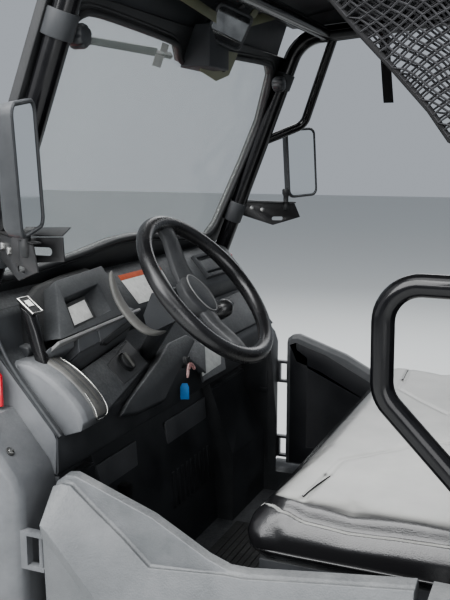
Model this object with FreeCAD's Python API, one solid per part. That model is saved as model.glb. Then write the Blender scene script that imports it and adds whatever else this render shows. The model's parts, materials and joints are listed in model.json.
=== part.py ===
import FreeCAD, Part
import math
import os

# Side by side utility vehicle, millimetres. +X forward, +Y the driver's side, +Z up.
# The origin is on the ground, under the middle of the vehicle.

Vec = FreeCAD.Vector
X_AXIS = Vec(1, 0, 0)
Y_AXIS = Vec(0, 1, 0)
Z_AXIS = Vec(0, 0, 1)

# Running fits and seats
SEAT_GAP = 0.3          # between a piece and the round or soft thing it rests on
PIN_PLAY = 0.8          # round a hinge pin or spindle
MOVE_GAP = 7.0          # between pieces that move past each other

# Axles, wheels and tyres
WHEELBASE = 1951.0
FRONT_AXLE_X = 950.0
REAR_AXLE_X = FRONT_AXLE_X - WHEELBASE
TYRE_RADIUS = 317.5
TYRE_WALL = 14.0
LUG_HEIGHT = 15.0
LUG_COUNT = 16
RIM_RADIUS = 152.0
RIM_WALL = 5.0
FRONT_TYRE_WIDTH = 203.0
REAR_TYRE_WIDTH = 254.0
FRONT_WHEEL_Y = 620.0
REAR_WHEEL_Y = 600.0
HUB_Z = TYRE_RADIUS
SPINDLE_RADIUS = 19.5
HUB_BOSS_RADIUS = 45.0
KINGPIN_Y = 560.0
KINGPIN_RADIUS = 9.0
REAR_EYE_Y = 530.0
HUB_BOSS_INSIDE = 5.0
HUB_BOSS_OUTSIDE = 34.0
BALL_RADIUS = 30.0

# Frame
RAIL_SIZE = 50.0
RAIL_Y = 230.0
RAIL_Z = 275.0
RAIL_TOP = RAIL_Z + RAIL_SIZE
FRAME_REAR_X = REAR_AXLE_X - 299.0
FRAME_FRONT_X = FRONT_AXLE_X + 350.0
TOWER_TUBE = 40.0
COWL_X = FRONT_AXLE_X - 147.0
COWL_Z = 945.0
FRONT_TOWER_X = FRONT_AXLE_X + 147.0
ARM_TUBE = 10.0
ARM_EYE_HEIGHT = 22.0
ARM_BARREL = 16.0
ARM_BRACE = 9.0
FRONT_ARM_SPREAD = 155.0
REAR_ARM_SPREAD = 150.0
SHOCK_OFFSET = 40.0
SHOCK_RADIUS = 30.0
DECK_Z = 760.0
SKID_THICK = 5.0

# Steering
RACK_Z = 380.0
RACK_X = FRONT_AXLE_X - 92.0
ARM_REACH = 75.0
WHEEL_CENTRE = Vec(322, 411, 1211)
WHEEL_RIM_RADIUS = 169.0
WHEEL_RIM_TUBE = 16.0
WHEEL_TILT = 41.4
COLUMN_SHAFT = 11.0
SHROUD_HALF = 36.0

# Cab
FLOOR_Z = 330.0
FLOOR_THICK = 15.0
ROCKER_TOP_Z = 415.0
CAB_HALF = 625.0
CAGE_Y = 620.0
CAGE_TUBE = 25.0
CAGE_REAR_X = -470.0
CAGE_TOP_Z = 1880.0
PILLAR_FOOT = Vec(COWL_X, CAGE_Y, COWL_Z + TOWER_TUBE)
PILLAR_TOP = Vec(466, CAGE_Y, 1840)
SCREEN_RAKE = 22.3
SCREEN_BASE = Vec(560, 0, 1700)
SCREEN_THICK = 5.0
SCREEN_FRAME_BACK = 12.0
PANEL = 5.0

# Seat
SEAT_FRONT_X = 190.0
SEAT_REAR_X = -285.0
SEAT_HALF = 565.0
SEAT_BOTTOM_Z = 722.0
SEAT_TOP_Z = 843.0

# Doors
DOOR_FRONT_X = 508.0
DOOR_REAR_X = -170.0
DOOR_BOTTOM_Z = 430.0
DOOR_INNER_Y = 662.0
DOOR_OUTER_Y = 757.0
DOOR_PIN_X = 524.0
DOOR_PIN_Y = 728.0
DOOR_PIN_RADIUS = 6.0

# Body
FENDER_OUTER_Y = 752.0
FENDER_INNER_Y = 400.0
FENDER_TOP_Z = 868.0
ARCH_RADIUS = 392.0
NOSE_X = 1458.0

# Cargo bed
BED_FLOOR_Z = 830.0
BED_FLOOR_THICK = 14.0
BED_WALL = 28.0
BED_TOP_Z = 1130.0
BED_FRONT_X = -512.0
BED_REAR_X = REAR_AXLE_X - 423.0
BED_WALL_REAR_X = BED_REAR_X - 31.0
FLARE_REAR_X = BED_REAR_X + 24.0
GATE_PIN_X = BED_REAR_X - 16.0
GATE_PIN_Z = 862.0
GATE_PIN_RADIUS = 6.0
BED_HALF = 700.0
BED_FLARE_Y = BED_HALF + 52.0
BED_PIN_X = REAR_AXLE_X - 199.0
BED_PIN_Z = 790.0
BED_PIN_RADIUS = 8.0
TAILGATE_THICK = 25.0
TAIL_X = BED_REAR_X - 34.0

# Roof
ROOF_TOP_Z = 1981.0


def box(x0, x1, y0, y1, z0, z1):
    return Part.makeBox(x1 - x0, y1 - y0, z1 - z0, Vec(x0, y0, z0))


def rod(start, end, radius):
    run = end.sub(start)
    return Part.makeCylinder(radius, run.Length, start, run)


def prism_y(outline, y0, y1):
    """Closed outline of (x, z) points, carried along Y."""
    points = [Vec(x, y0, z) for x, z in outline]
    face = Part.Face(Part.makePolygon(points + points[:1]))
    return face.extrude(Vec(0, y1 - y0, 0))


def prism_x(outline, x0, x1):
    """Closed outline of (y, z) points, carried along X."""
    points = [Vec(x0, y, z) for y, z in outline]
    face = Part.Face(Part.makePolygon(points + points[:1]))
    return face.extrude(Vec(x1 - x0, 0, 0))


def prism_z(outline, z0, z1):
    """Closed outline of (x, y) points, carried along Z."""
    points = [Vec(x, y, z0) for x, y in outline]
    face = Part.Face(Part.makePolygon(points + points[:1]))
    return face.extrude(Vec(0, 0, z1 - z0))


def sheet_y(line, wall, y0, y1):
    """Open line of (x, z) points given a wall thickness to its left, carried along Y."""
    left = []
    count = len(line)
    for i, (x, z) in enumerate(line):
        before = line[max(i - 1, 0)]
        after = line[min(i + 1, count - 1)]
        first = direction(before, (x, z)) if i > 0 else direction((x, z), after)
        second = direction((x, z), after) if i < count - 1 else first
        nx, nz = -(first[1] + second[1]), first[0] + second[0]
        size = math.hypot(nx, nz)
        reach = wall * 2.0 / size
        left.append((x + nx / size * reach, z + nz / size * reach))
    return prism_y(line + left[::-1], y0, y1)


def direction(a, b):
    dx, dz = b[0] - a[0], b[1] - a[1]
    size = math.hypot(dx, dz)
    return dx / size, dz / size


def mirrored(shape):
    return shape.mirror(Vec(0, 0, 0), Y_AXIS)


def both_sides(shape):
    return [shape, mirrored(shape)]


def fuse(shapes):
    if len(shapes) == 1:
        return shapes[0]
    return shapes[0].multiFuse(shapes[1:])


def bent_tube(points, radius, bend):
    """Round bar along straight runs joined by tangent arcs of one bend radius."""
    edges = []
    start = points[0]
    for i in range(1, len(points) - 1):
        corner = points[i]
        back = points[i - 1].sub(corner)
        ahead = points[i + 1].sub(corner)
        back.normalize()
        ahead.normalize()
        half = math.acos(max(-1.0, min(1.0, back.dot(ahead)))) / 2.0
        cut = bend / math.tan(half)
        centre_way = back.add(ahead)
        centre_way.normalize()
        into = corner.add(back * cut)
        out = corner.add(ahead * cut)
        middle = corner.add(centre_way * (bend / math.sin(half) - bend))
        edges.append(Part.makeLine(start, into))
        edges.append(Part.Arc(into, middle, out).toShape())
        start = out
    edges.append(Part.makeLine(start, points[-1]))
    path = Part.Wire(edges)
    way = points[1].sub(points[0])
    ring = Part.Wire(Part.makeCircle(radius, points[0], way))
    return path.makePipeShell([ring], True, False)


def revolve_y(profile, y):
    """Closed profile of (offset along Y, radius) points, turned about a wheel's axis."""
    points = [Vec(0, y + offset, radius) for offset, radius in profile]
    face = Part.Face(Part.makePolygon(points + points[:1]))
    return face.revolve(Vec(0, 0, 0), Y_AXIS, 360)


def moved(shape, x, y, z):
    copy = shape.copy()
    copy.translate(Vec(x, y, z))
    return copy


def save(name, shape):
    solids = shape if isinstance(shape, list) else [shape]
    flat = [solid for piece in solids for solid in piece.Solids]
    made = flat[0] if len(flat) == 1 else Part.makeCompound(flat)
    if not made.isValid():
        print("not valid:", name)
    made.exportStep("parts/%s.step" % name)
    NODES[name] = made


NODES = {}


# Lower frame, running from the nose to behind the rear axle
def chassis_frame():
    pieces = []
    for side in (-1, 1):
        y = side * RAIL_Y
        half = RAIL_SIZE / 2
        pieces.append(box(FRAME_REAR_X, FRAME_FRONT_X, y - half, y + half, RAIL_Z, RAIL_TOP))
    # columns: x of the middle, half length along Y
    cross_members = [(FRAME_FRONT_X - 25, 255), (FRONT_AXLE_X - 25, 255), (FRONT_AXLE_X + 45, 255), (COWL_X, 255),
                     (540, 610), (150, 610), (-300, 610), (CAGE_REAR_X, 640),
                     (REAR_AXLE_X + 50, 255), (REAR_AXLE_X - 50, 255), (FRAME_REAR_X + 25, 255)]
    for x, half in cross_members:
        pieces.append(box(x - RAIL_SIZE / 2, x + RAIL_SIZE / 2, -half, half, RAIL_Z, RAIL_TOP))
    # Rack housing on two stands
    pieces.append(rod(Vec(RACK_X, -150, RACK_Z), Vec(RACK_X, 150, RACK_Z), 24))
    for y in (-120, 120):
        pieces.append(box(RACK_X - 12, RACK_X + 12, y - 15, y + 15, RAIL_Z + 10, RACK_Z))
    pieces.append(box(RACK_X - 40, RACK_X + 50, -135, 135, RAIL_Z + 5, RAIL_Z + 20))
    # Rear hitch receiver
    pieces.append(box(FRAME_REAR_X - 100, FRAME_REAR_X + 5, -38, 38, 262, 338))
    frame = fuse(pieces)
    bore = rod(Vec(RACK_X, -200, RACK_Z), Vec(RACK_X, 200, RACK_Z), 12 + PIN_PLAY)
    receiver = box(FRAME_REAR_X - 110, FRAME_REAR_X - 10, -25.5, 25.5, 274.5, 325.5)
    hitch_x = FRAME_REAR_X - 60
    hitch_hole = rod(Vec(hitch_x, -60, 300), Vec(hitch_x, 60, 300), 8)
    return frame.cut(fuse([bore, receiver, hitch_hole])).removeSplitter()


# Uprights on the rails, decks along their tops, the cowl bar and the bed's pivot pins
def upper_frame():
    pieces = []
    # columns: x of the middle, lowest z, highest z
    uprights = [(COWL_X, RAIL_TOP, COWL_Z), (FRONT_TOWER_X, RAIL_TOP, DECK_Z),
                (FRAME_FRONT_X - 25, RAIL_TOP, 700), (-560, RAIL_TOP, DECK_Z), (BED_PIN_X, RAIL_TOP, DECK_Z),
                (REAR_AXLE_X - REAR_ARM_SPREAD, RAIL_TOP, DECK_Z),
                (REAR_AXLE_X + REAR_ARM_SPREAD, RAIL_TOP, DECK_Z)]
    half = TOWER_TUBE / 2
    for x, low, high in uprights:
        for side in (-1, 1):
            y = side * RAIL_Y
            pieces.append(box(x - half, x + half, y - half, y + half, low, high))
    # Decks along the tops of the uprights
    for side in (-1, 1):
        y = side * RAIL_Y
        pieces.append(box(BED_PIN_X - 25, CAGE_REAR_X - 60, y - half, y + half, DECK_Z, DECK_Z + TOWER_TUBE))
        pieces.append(box(COWL_X - half, FRONT_TOWER_X + half, y - half, y + half, DECK_Z, DECK_Z + TOWER_TUBE))
    for x in (COWL_X, FRONT_TOWER_X, -560, REAR_AXLE_X - REAR_ARM_SPREAD):
        pieces.append(box(x - half, x + half, -RAIL_Y, RAIL_Y, DECK_Z, DECK_Z + TOWER_TUBE))
    pieces.append(box(FRAME_FRONT_X - 45, FRAME_FRONT_X - 5, -RAIL_Y, RAIL_Y, 660, 700))
    # Cowl bar that the pillars stand on
    pieces.append(box(COWL_X - half, COWL_X + half, -640, 640, COWL_Z, COWL_Z + TOWER_TUBE))
    # Bed pivot pins on the inner faces of the deck
    inner = RAIL_Y - half
    for side in (-1, 1):
        start = Vec(BED_PIN_X, side * (inner + 5), BED_PIN_Z)
        end = Vec(BED_PIN_X, side * (inner - 34), BED_PIN_Z)
        pieces.append(rod(start, end, BED_PIN_RADIUS))
    return [solid.removeSplitter() for solid in fuse(pieces).Solids]


def skid_plate():
    return box(FRAME_REAR_X + 60, FRAME_FRONT_X - 60, -270, 270, RAIL_Z - SKID_THICK, RAIL_Z)


def engine_block():
    return box(REAR_AXLE_X + 186, -330, -190, 190, RAIL_TOP, 720)


def differentials():
    front = box(FRONT_AXLE_X - 58, FRONT_AXLE_X + 70, -100, 100, RAIL_TOP, 470)
    rear = box(REAR_AXLE_X - 80, REAR_AXLE_X + 80, -110, 110, RAIL_TOP, 500)
    return [front, rear]


def half_shafts():
    shafts = []
    inner_z = 400.0
    for x, inner_y, outer_y in ((FRONT_AXLE_X, 100, KINGPIN_Y), (REAR_AXLE_X, 110, 515)):
        for side in (-1, 1):
            start = Vec(x, side * inner_y, inner_z)
            end = Vec(x, side * outer_y, HUB_Z)
            run = end.sub(start)
            way = Vec(run)
            way.normalize()
            pieces = [rod(start.add(way * -10), end, 14)]
            pieces.append(Part.makeCone(36, 18, 100, start.add(way * -10), way))
            if x > 0:
                pieces.append(Part.makeSphere(BALL_RADIUS, end))
            shaft = fuse(pieces)
            shaft = shaft.cut(box(x - 60, x + 60, -inner_y, inner_y, 300, 500))
            if x < 0:
                shaft = shaft.cut(box(x - 60, x + 60, outer_y, outer_y + 60, 250, 500))
                shaft = shaft.cut(box(x - 60, x + 60, -outer_y - 60, -outer_y, 250, 500))
            shafts.append(shaft)
    return shafts


# columns: axle x, inner y, inner z, eye y, eye z, half spread, braced
def arm_rows():
    rail_seat = RAIL_Y + RAIL_SIZE / 2 + ARM_BARREL + SEAT_GAP
    tower_seat = RAIL_Y + TOWER_TUBE / 2 + ARM_BARREL + SEAT_GAP
    front = [(FRONT_AXLE_X, rail_seat, 300, KINGPIN_Y, 228, FRONT_ARM_SPREAD, True),
             (FRONT_AXLE_X, tower_seat, 440, KINGPIN_Y, 402, FRONT_ARM_SPREAD, False)]
    rear = [(REAR_AXLE_X, rail_seat, 300, REAR_EYE_Y, 240, REAR_ARM_SPREAD, True),
            (REAR_AXLE_X, tower_seat, 440, REAR_EYE_Y, 394, REAR_ARM_SPREAD, False)]
    return front, rear


def brace_place(row):
    share = 0.45
    _, inner_y, inner_z, outer_y, outer_z, _, _ = row
    return inner_y + (outer_y - inner_y) * share, inner_z + (outer_z - inner_z) * share


def control_arm(row):
    """V of two tubes from the frame's side to one eye over or under the hub."""
    axle_x, inner_y, inner_z, outer_y, outer_z, spread, braced = row
    pieces = [Part.makeCylinder(22, ARM_EYE_HEIGHT, Vec(axle_x, outer_y, outer_z - ARM_EYE_HEIGHT / 2))]
    for side in (-1, 1):
        start = Vec(axle_x + side * spread, inner_y, inner_z)
        pieces.append(rod(start, Vec(axle_x, outer_y, outer_z), ARM_TUBE))
        pieces.append(rod(start.add(Vec(-25, 0, 0)), start.add(Vec(25, 0, 0)), ARM_BARREL))
    if braced:
        y, z = brace_place(row)
        half = spread * 0.55
        pieces.append(rod(Vec(axle_x - half, y, z), Vec(axle_x + half, y, z), ARM_BRACE))
    hole = Part.makeCylinder(KINGPIN_RADIUS + PIN_PLAY, 60, Vec(axle_x, outer_y, outer_z - 30))
    return fuse(pieces).cut(hole)


def front_control_arms():
    return [arm for row in arm_rows()[0] for arm in both_sides(control_arm(row))]


def rear_control_arms():
    return [arm for row in arm_rows()[1] for arm in both_sides(control_arm(row))]


def shocks():
    """Spring and damper from each lower arm's brace to the deck's outer face."""
    made = []
    high_y = RAIL_Y + TOWER_TUBE / 2 + ARM_BARREL + SEAT_GAP
    high_z = DECK_Z + TOWER_TUBE / 2
    for rows in arm_rows():
        row = rows[0]
        y, z = brace_place(row)
        x = row[0] + SHOCK_OFFSET
        low = Vec(x, y, z + ARM_BRACE + ARM_BARREL + SEAT_GAP)
        high = Vec(x, high_y, high_z)
        way = high.sub(low)
        way.normalize()
        body = [rod(low, high, 11), rod(low.add(way * 105), low.add(way * 370), SHOCK_RADIUS)]
        for end in (low, high):
            body.append(rod(end.add(Vec(-16, 0, 0)), end.add(Vec(16, 0, 0)), ARM_BARREL))
        made += both_sides(fuse(body))
    return made


def knuckle():
    """Left front upright: ball pocket, ears, steering arm and spindle."""
    centre = Vec(FRONT_AXLE_X, KINGPIN_Y, HUB_Z)
    pocket = BALL_RADIUS + MOVE_GAP
    face_y = FRONT_WHEEL_Y - HUB_BOSS_INSIDE - MOVE_GAP
    body = rod(Vec(FRONT_AXLE_X, KINGPIN_Y - 12, HUB_Z), Vec(FRONT_AXLE_X, face_y, HUB_Z), 58)
    spindle_end = Vec(FRONT_AXLE_X, FRONT_WHEEL_Y + 24, HUB_Z)
    spindle = rod(Vec(FRONT_AXLE_X, KINGPIN_Y + 42, HUB_Z), spindle_end, SPINDLE_RADIUS)
    upper_pin = Part.makeCylinder(KINGPIN_RADIUS, 60, Vec(FRONT_AXLE_X, KINGPIN_Y, 356))
    lower_pin = Part.makeCylinder(KINGPIN_RADIUS, 60, Vec(FRONT_AXLE_X, KINGPIN_Y, 214))
    ears = [Part.makeCylinder(15, 30, Vec(FRONT_AXLE_X, KINGPIN_Y, 360))]
    ears.append(Part.makeCylinder(15, 30, Vec(FRONT_AXLE_X, KINGPIN_Y, 245)))
    arm_outline = [(FRONT_AXLE_X - 40, 575), (FRONT_AXLE_X - 90, 550), (FRONT_AXLE_X - 90, 520),
                   (FRONT_AXLE_X - 60, 520), (FRONT_AXLE_X - 30, 548)]
    arm = prism_z(arm_outline, 344, 358)
    solid = fuse([body, spindle, upper_pin, lower_pin, arm] + ears)
    ball_room = Part.makeSphere(pocket, centre)
    mouth = Part.makeCone(pocket, 62, 40, centre, Vec(0, -1, 0))
    return solid.cut(ball_room).cut(mouth)


def rear_hub_carriers():
    face_y = REAR_WHEEL_Y - HUB_BOSS_INSIDE - MOVE_GAP
    plate = rod(Vec(REAR_AXLE_X, 515, HUB_Z), Vec(REAR_AXLE_X, face_y, HUB_Z), 56)
    ears = [Part.makeCylinder(15, 122, Vec(REAR_AXLE_X, REAR_EYE_Y, 257))]
    ears.append(Part.makeCylinder(KINGPIN_RADIUS, 182, Vec(REAR_AXLE_X, REAR_EYE_Y, 226)))
    end = Vec(REAR_AXLE_X, REAR_WHEEL_Y + 24, HUB_Z)
    spindle = rod(Vec(REAR_AXLE_X, 570, HUB_Z), end, SPINDLE_RADIUS)
    return both_sides(fuse([plate, spindle] + ears))


def rim(width):
    """Wheel about the Y axis: barrel, dished disc and hub boss, outer face towards +Y."""
    half = width / 2 - 12
    inner = RIM_RADIUS - RIM_WALL
    profile = [(-half, inner), (-half, RIM_RADIUS + 12), (-half + 5, RIM_RADIUS + 12),
               (-half + 9, RIM_RADIUS), (half - 9, RIM_RADIUS), (half - 5, RIM_RADIUS + 12),
               (half, RIM_RADIUS + 12), (half, inner), (34, inner), (20, 90), (20, HUB_BOSS_RADIUS),
               (HUB_BOSS_OUTSIDE, HUB_BOSS_RADIUS), (HUB_BOSS_OUTSIDE, SPINDLE_RADIUS + PIN_PLAY),
               (-HUB_BOSS_INSIDE, SPINDLE_RADIUS + PIN_PLAY), (-HUB_BOSS_INSIDE, HUB_BOSS_RADIUS),
               (12, HUB_BOSS_RADIUS),
               (12, 90), (24, inner)]
    wheel = revolve_y(profile, 0)
    holes = []
    for i in range(8):
        angle = math.radians(45 * i)
        x, z = 118 * math.cos(angle), 118 * math.sin(angle)
        holes.append(rod(Vec(x, -10, z), Vec(x, 60, z), 17))
    return wheel.cut(fuse(holes))


def tyre(width):
    """Hollow tyre about the Y axis with two staggered rows of lugs."""
    half = width / 2
    bead = RIM_RADIUS + SEAT_GAP
    seat = half - 12 - 9 - SEAT_GAP
    tread = TYRE_RADIUS - LUG_HEIGHT
    outer = [(-seat, bead), (-seat, RIM_RADIUS + 14), (-half + 4, 192), (-half, 235), (-half + 5, 285),
             (-half + 18, tread - 3), (-half + 40, tread)]
    inside = [(-seat + 16, bead - 1), (-seat + 16, 176), (-half + 4 + TYRE_WALL, 200),
              (-half + TYRE_WALL, 235), (-half + TYRE_WALL + 8, TYRE_RADIUS - 38)]
    ring = outer + [(-y, r) for y, r in outer[::-1]]
    cavity = inside + [(-y, r) for y, r in inside[::-1]]
    pieces = [revolve_y(ring, 0).cut(revolve_y(cavity, 0))]
    step = 360.0 / LUG_COUNT
    for side in (-1, 1):
        outline = [Vec(-22, side * 6, -TYRE_RADIUS), Vec(20, side * 6, -TYRE_RADIUS),
                   Vec(30, side * (half - 14), -TYRE_RADIUS), Vec(-16, side * (half - 14), -TYRE_RADIUS)]
        lug = Part.Face(Part.makePolygon(outline + outline[:1])).extrude(Vec(0, 0, LUG_HEIGHT + 5))
        for i in range(LUG_COUNT):
            turned = lug.copy()
            turned.rotate(Vec(0, 0, 0), Y_AXIS, step * (i + (0.5 if side < 0 else 0)))
            pieces.append(turned)
    return fuse(pieces)


def wheel_places():
    # columns: name, x, y, tyre width
    return [("front_left", FRONT_AXLE_X, FRONT_WHEEL_Y, FRONT_TYRE_WIDTH),
            ("front_right", FRONT_AXLE_X, -FRONT_WHEEL_Y, FRONT_TYRE_WIDTH),
            ("rear_left", REAR_AXLE_X, REAR_WHEEL_Y, REAR_TYRE_WIDTH),
            ("rear_right", REAR_AXLE_X, -REAR_WHEEL_Y, REAR_TYRE_WIDTH)]


def tie_rods():
    pieces = [rod(Vec(RACK_X, -215, RACK_Z), Vec(RACK_X, 215, RACK_Z), 12)]
    for side in (-1, 1):
        inner = Vec(RACK_X, side * 215, RACK_Z)
        outer = Vec(FRONT_AXLE_X - ARM_REACH, side * 535, RACK_Z)
        pieces.append(Part.makeSphere(15, inner))
        pieces.append(rod(inner, outer, 8))
        pieces.append(Part.makeSphere(11, outer))
    return fuse(pieces)


def wheel_way():
    """Unit vector from the steering wheel towards the driver."""
    tilt = math.radians(WHEEL_TILT)
    return Vec(-math.cos(tilt), 0, math.sin(tilt))


def steering_wheel():
    ring = Part.makeTorus(WHEEL_RIM_RADIUS, WHEEL_RIM_TUBE)
    hub = Part.makeCylinder(52, 34, Vec(0, 0, -40))
    bore = Part.makeCylinder(COLUMN_SHAFT + PIN_PLAY, 40, Vec(0, 0, -54))
    pieces = [ring, hub.cut(bore)]
    # columns: angle from the top, inner half width, outer half width
    spokes = [(90, 24, 18), (270, 24, 18), (180, 20, 16)]
    for angle, inner, outer in spokes:
        outline = [Vec(30, -inner, -22), Vec(165, -outer, -4), Vec(165, outer, -4), Vec(30, inner, -22)]
        blade = Part.Face(Part.makePolygon(outline + outline[:1])).extrude(Vec(0, 0, 8))
        blade.rotate(Vec(0, 0, 0), Z_AXIS, angle)
        pieces.append(blade)
    wheel = fuse(pieces)
    wheel.rotate(Vec(0, 0, 0), Y_AXIS, WHEEL_TILT - 90)
    wheel.translate(WHEEL_CENTRE)
    return wheel


# columns: x, z of the short shroud behind the steering wheel, from its top rear corner
SHROUD = [(374, 1212), (432, 1198), (452, 1150), (440, 1112), (366, 1150)]
BOOT_START = Vec(412, 411, 1148)
BOOT_END = Vec(715, 0, 900)
BOOT_RADIUS = 20.0
BOOT_SHARE = 0.64


def steering_column():
    """Shroud, shaft and the two jointed links down to the rack."""
    way = wheel_way() * -1
    start = WHEEL_CENTRE.add(way * 46)
    low, high = WHEEL_CENTRE.y - SHROUD_HALF, WHEEL_CENTRE.y + SHROUD_HALF
    # the boot reaches from the shroud into the dash's slope
    boot_tip = BOOT_START.add(BOOT_END.sub(BOOT_START) * BOOT_SHARE)
    pieces = [prism_y(SHROUD, low, high), rod(BOOT_START, boot_tip, BOOT_RADIUS)]
    pieces.append(rod(WHEEL_CENTRE.add(way * 20), start.add(way * 40), COLUMN_SHAFT))
    route = [BOOT_START, BOOT_END, Vec(740, 160, 700), Vec(RACK_X - 4, 132, RACK_Z + 25)]
    for a, b in zip(route, route[1:]):
        pieces.append(rod(a, b, COLUMN_SHAFT))
    for joint in route[1:3]:
        pieces.append(Part.makeSphere(20, joint))
    column = fuse(pieces)
    hub_room = rod(WHEEL_CENTRE, start, 60)
    column = column.cut(hub_room.cut(rod(WHEEL_CENTRE, start, COLUMN_SHAFT)))
    return column.cut(rod(Vec(RACK_X, -200, RACK_Z), Vec(RACK_X, 200, RACK_Z), 24 + SEAT_GAP))


# Roll cage of bent tube with the grab tube on the passenger's side
def cage_pieces(radius):
    pieces = []
    for side in (-1, 1):
        y = side * CAGE_Y
        points = [Vec(PILLAR_FOOT.x + 16, y, PILLAR_FOOT.z - 40), Vec(PILLAR_TOP.x, y, PILLAR_TOP.z),
                  Vec(-60, y, CAGE_TOP_Z), Vec(CAGE_REAR_X, y, CAGE_TOP_Z), Vec(CAGE_REAR_X, y, RAIL_TOP - 10)]
        tube = bent_tube(points, radius, 110)
        tube = tube.cut(box(700, 900, y - 60, y + 60, 900, PILLAR_FOOT.z))
        pieces.append(tube.cut(box(-600, -400, y - 60, y + 60, 250, RAIL_TOP)))
    # columns: x, z of the tubes that cross the cab
    for x, z in ((380, 1846.5), (-80, CAGE_TOP_Z), (-310, CAGE_TOP_Z), (CAGE_REAR_X, 1330)):
        pieces.append(rod(Vec(x, -CAGE_Y, z), Vec(x, CAGE_Y, z), radius - 5))
    return pieces


def grab_tube():
    points = [Vec(352, -CAGE_Y, 1849), Vec(470, -692, 1578), Vec(594, -CAGE_Y, 1520)]
    return bent_tube(points, 14, 45)


def roll_cage():
    return fuse(cage_pieces(CAGE_TUBE) + [grab_tube()])


def cage_envelope():
    return fuse(cage_pieces(CAGE_TUBE + SEAT_GAP))


def hip_bars():
    y = 644
    points = [Vec(CAGE_REAR_X, y, 1275), Vec(-90, y, 1277), Vec(-92, y, 1092), Vec(-462, y, 712)]
    bar = bent_tube(points, 19, 62)
    bar = bar.cut(cage_envelope())
    bar = max(bar.Solids, key=lambda solid: solid.Volume)
    return both_sides(bar)


def roof_panel():
    under = [(-500, 1907), (-60, 1907), (450, 1872)]
    top = [(500, 1872), (470, 1915), (250, 1955), (-60, ROOF_TOP_Z), (-300, 1975), (-500, 1940)]
    half = 655
    shell = prism_y(under + top, -half, half)
    hollow = prism_y([(-480, 1890), (-480, 1928), (-300, 1960), (-60, 1966), (240, 1941), (440, 1905),
                      (440, 1860)], -half + 20, half - 20)
    pads = []
    for side in (-1, 1):
        y = side * CAGE_Y
        pads.append(box(-400, -340, y - 22, y + 22, 1880, 1955))
        pads.append(box(200, 260, y - 22, y + 22, 1858, 1945))
    return fuse([shell.cut(hollow)] + pads).cut(cage_envelope())


def screen_point(y, up):
    """Point on the windshield's plane: up is measured along the slope from its reference point."""
    rake = math.radians(SCREEN_RAKE)
    return Vec(SCREEN_BASE.x - math.sin(rake) * up, y, SCREEN_BASE.z + math.cos(rake) * up)


def screen_way():
    rake = math.radians(SCREEN_RAKE)
    return Vec(math.cos(rake), 0, math.sin(rake))


def screen_plate(outline, back, thickness):
    points = [screen_point(y, up).add(screen_way() * back) for y, up in outline]
    return Part.Face(Part.makePolygon(points + points[:1])).extrude(screen_way() * thickness)


def screen_envelope():
    outline = [(700, 120), (-700, 120), (-700, -600), (700, -600)]
    return screen_plate(outline, -SCREEN_FRAME_BACK - SEAT_GAP, 90)


# columns: y, distance up the slope; the inner edge of the rubber frame, left half from the top
SCREEN_OPENING = [(0, 5), (60, 5), (110, 46), (505, 60), (558, 27), (609, -117), (601, -254),
                  (571, -470), (536, -508), (258, -490), (105, -466), (0, -462)]


def opening_outline(shrink):
    half = [(max(y - shrink, 0) if y > 0 else 0, up + (shrink if up < -200 else -shrink))
            for y, up in SCREEN_OPENING]
    return half + [(-y, up) for y, up in half[::-1] if y > 0]


def windshield_frame():
    outline = [(648, 60), (620, 92), (-620, 92), (-648, 60), (-648, -520), (-620, -552), (620, -552),
               (648, -520)]
    plate = screen_plate(outline, -SCREEN_FRAME_BACK, SCREEN_FRAME_BACK + 8)
    return plate.cut(screen_plate(opening_outline(0), -20, 50)).cut(cage_envelope())


def windshield():
    return screen_plate(opening_outline(SEAT_GAP), -SCREEN_THICK / 2, SCREEN_THICK)


def wiper():
    base = screen_point(0, 30).add(screen_way() * -46)
    motor = box(base.x - 36, base.x + 60, -60, 60, 1690, 1790)
    motor = motor.cut(screen_envelope())
    return motor


MIRROR_PLATE_FOOT = Vec(662, 640, 0)
MIRROR_PLATE_TIP = Vec(497, 748, 0)
MIRROR_POST = Vec(538, 720, 0)
MIRROR_WIDTH = 124.0
MIRROR_HEIGHT = 236.0
MIRROR_DEPTH = 40.0
MIRROR_Z = 1456.0


def pillar_point(z):
    share = (z - PILLAR_FOOT.z) / (PILLAR_TOP.z - PILLAR_FOOT.z)
    return PILLAR_FOOT.add(PILLAR_TOP.sub(PILLAR_FOOT) * share)


def mirror(side, x, y, turn):
    """Mirror head on a post, a folded plate and a clamp round the pillar."""
    run = MIRROR_PLATE_TIP.sub(MIRROR_PLATE_FOOT)
    length = run.Length
    run.normalize()
    outline = []
    for along, z in ((0, 1330), (length - 20, 1322), (length, 1276), (length * 0.52, 1250), (0, 1284)):
        outline.append(MIRROR_PLATE_FOOT.add(run * along).add(Vec(0, 0, z)))
    plate = Part.Face(Part.makePolygon(outline + outline[:1])).extrude(Vec(-run.y, run.x, 0) * 5)
    clamp = rod(pillar_point(1276), pillar_point(1338), CAGE_TUBE + 7)
    post = rod(MIRROR_POST.add(Vec(0, 0, 1300)), MIRROR_POST.add(Vec(0, 0, 1360)), 11)
    holder = fuse([plate, clamp, post])
    if side < 0:
        holder = mirrored(holder)
    half = MIRROR_WIDTH / 2
    head = box(-half, half, -MIRROR_DEPTH / 2, MIRROR_DEPTH / 2, -MIRROR_HEIGHT / 2, MIRROR_HEIGHT / 2)
    head = head.makeFillet(16, head.Edges)
    head.rotate(Vec(0, 0, 0), Z_AXIS, turn)
    head.translate(Vec(x, y, MIRROR_Z))
    return fuse([holder, head]).cut(cage_envelope()).cut(screen_envelope())


def side_mirrors():
    return [mirror(1, 528, 767, 72.6), mirror(-1, 510, -770, 53.9)]


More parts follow.
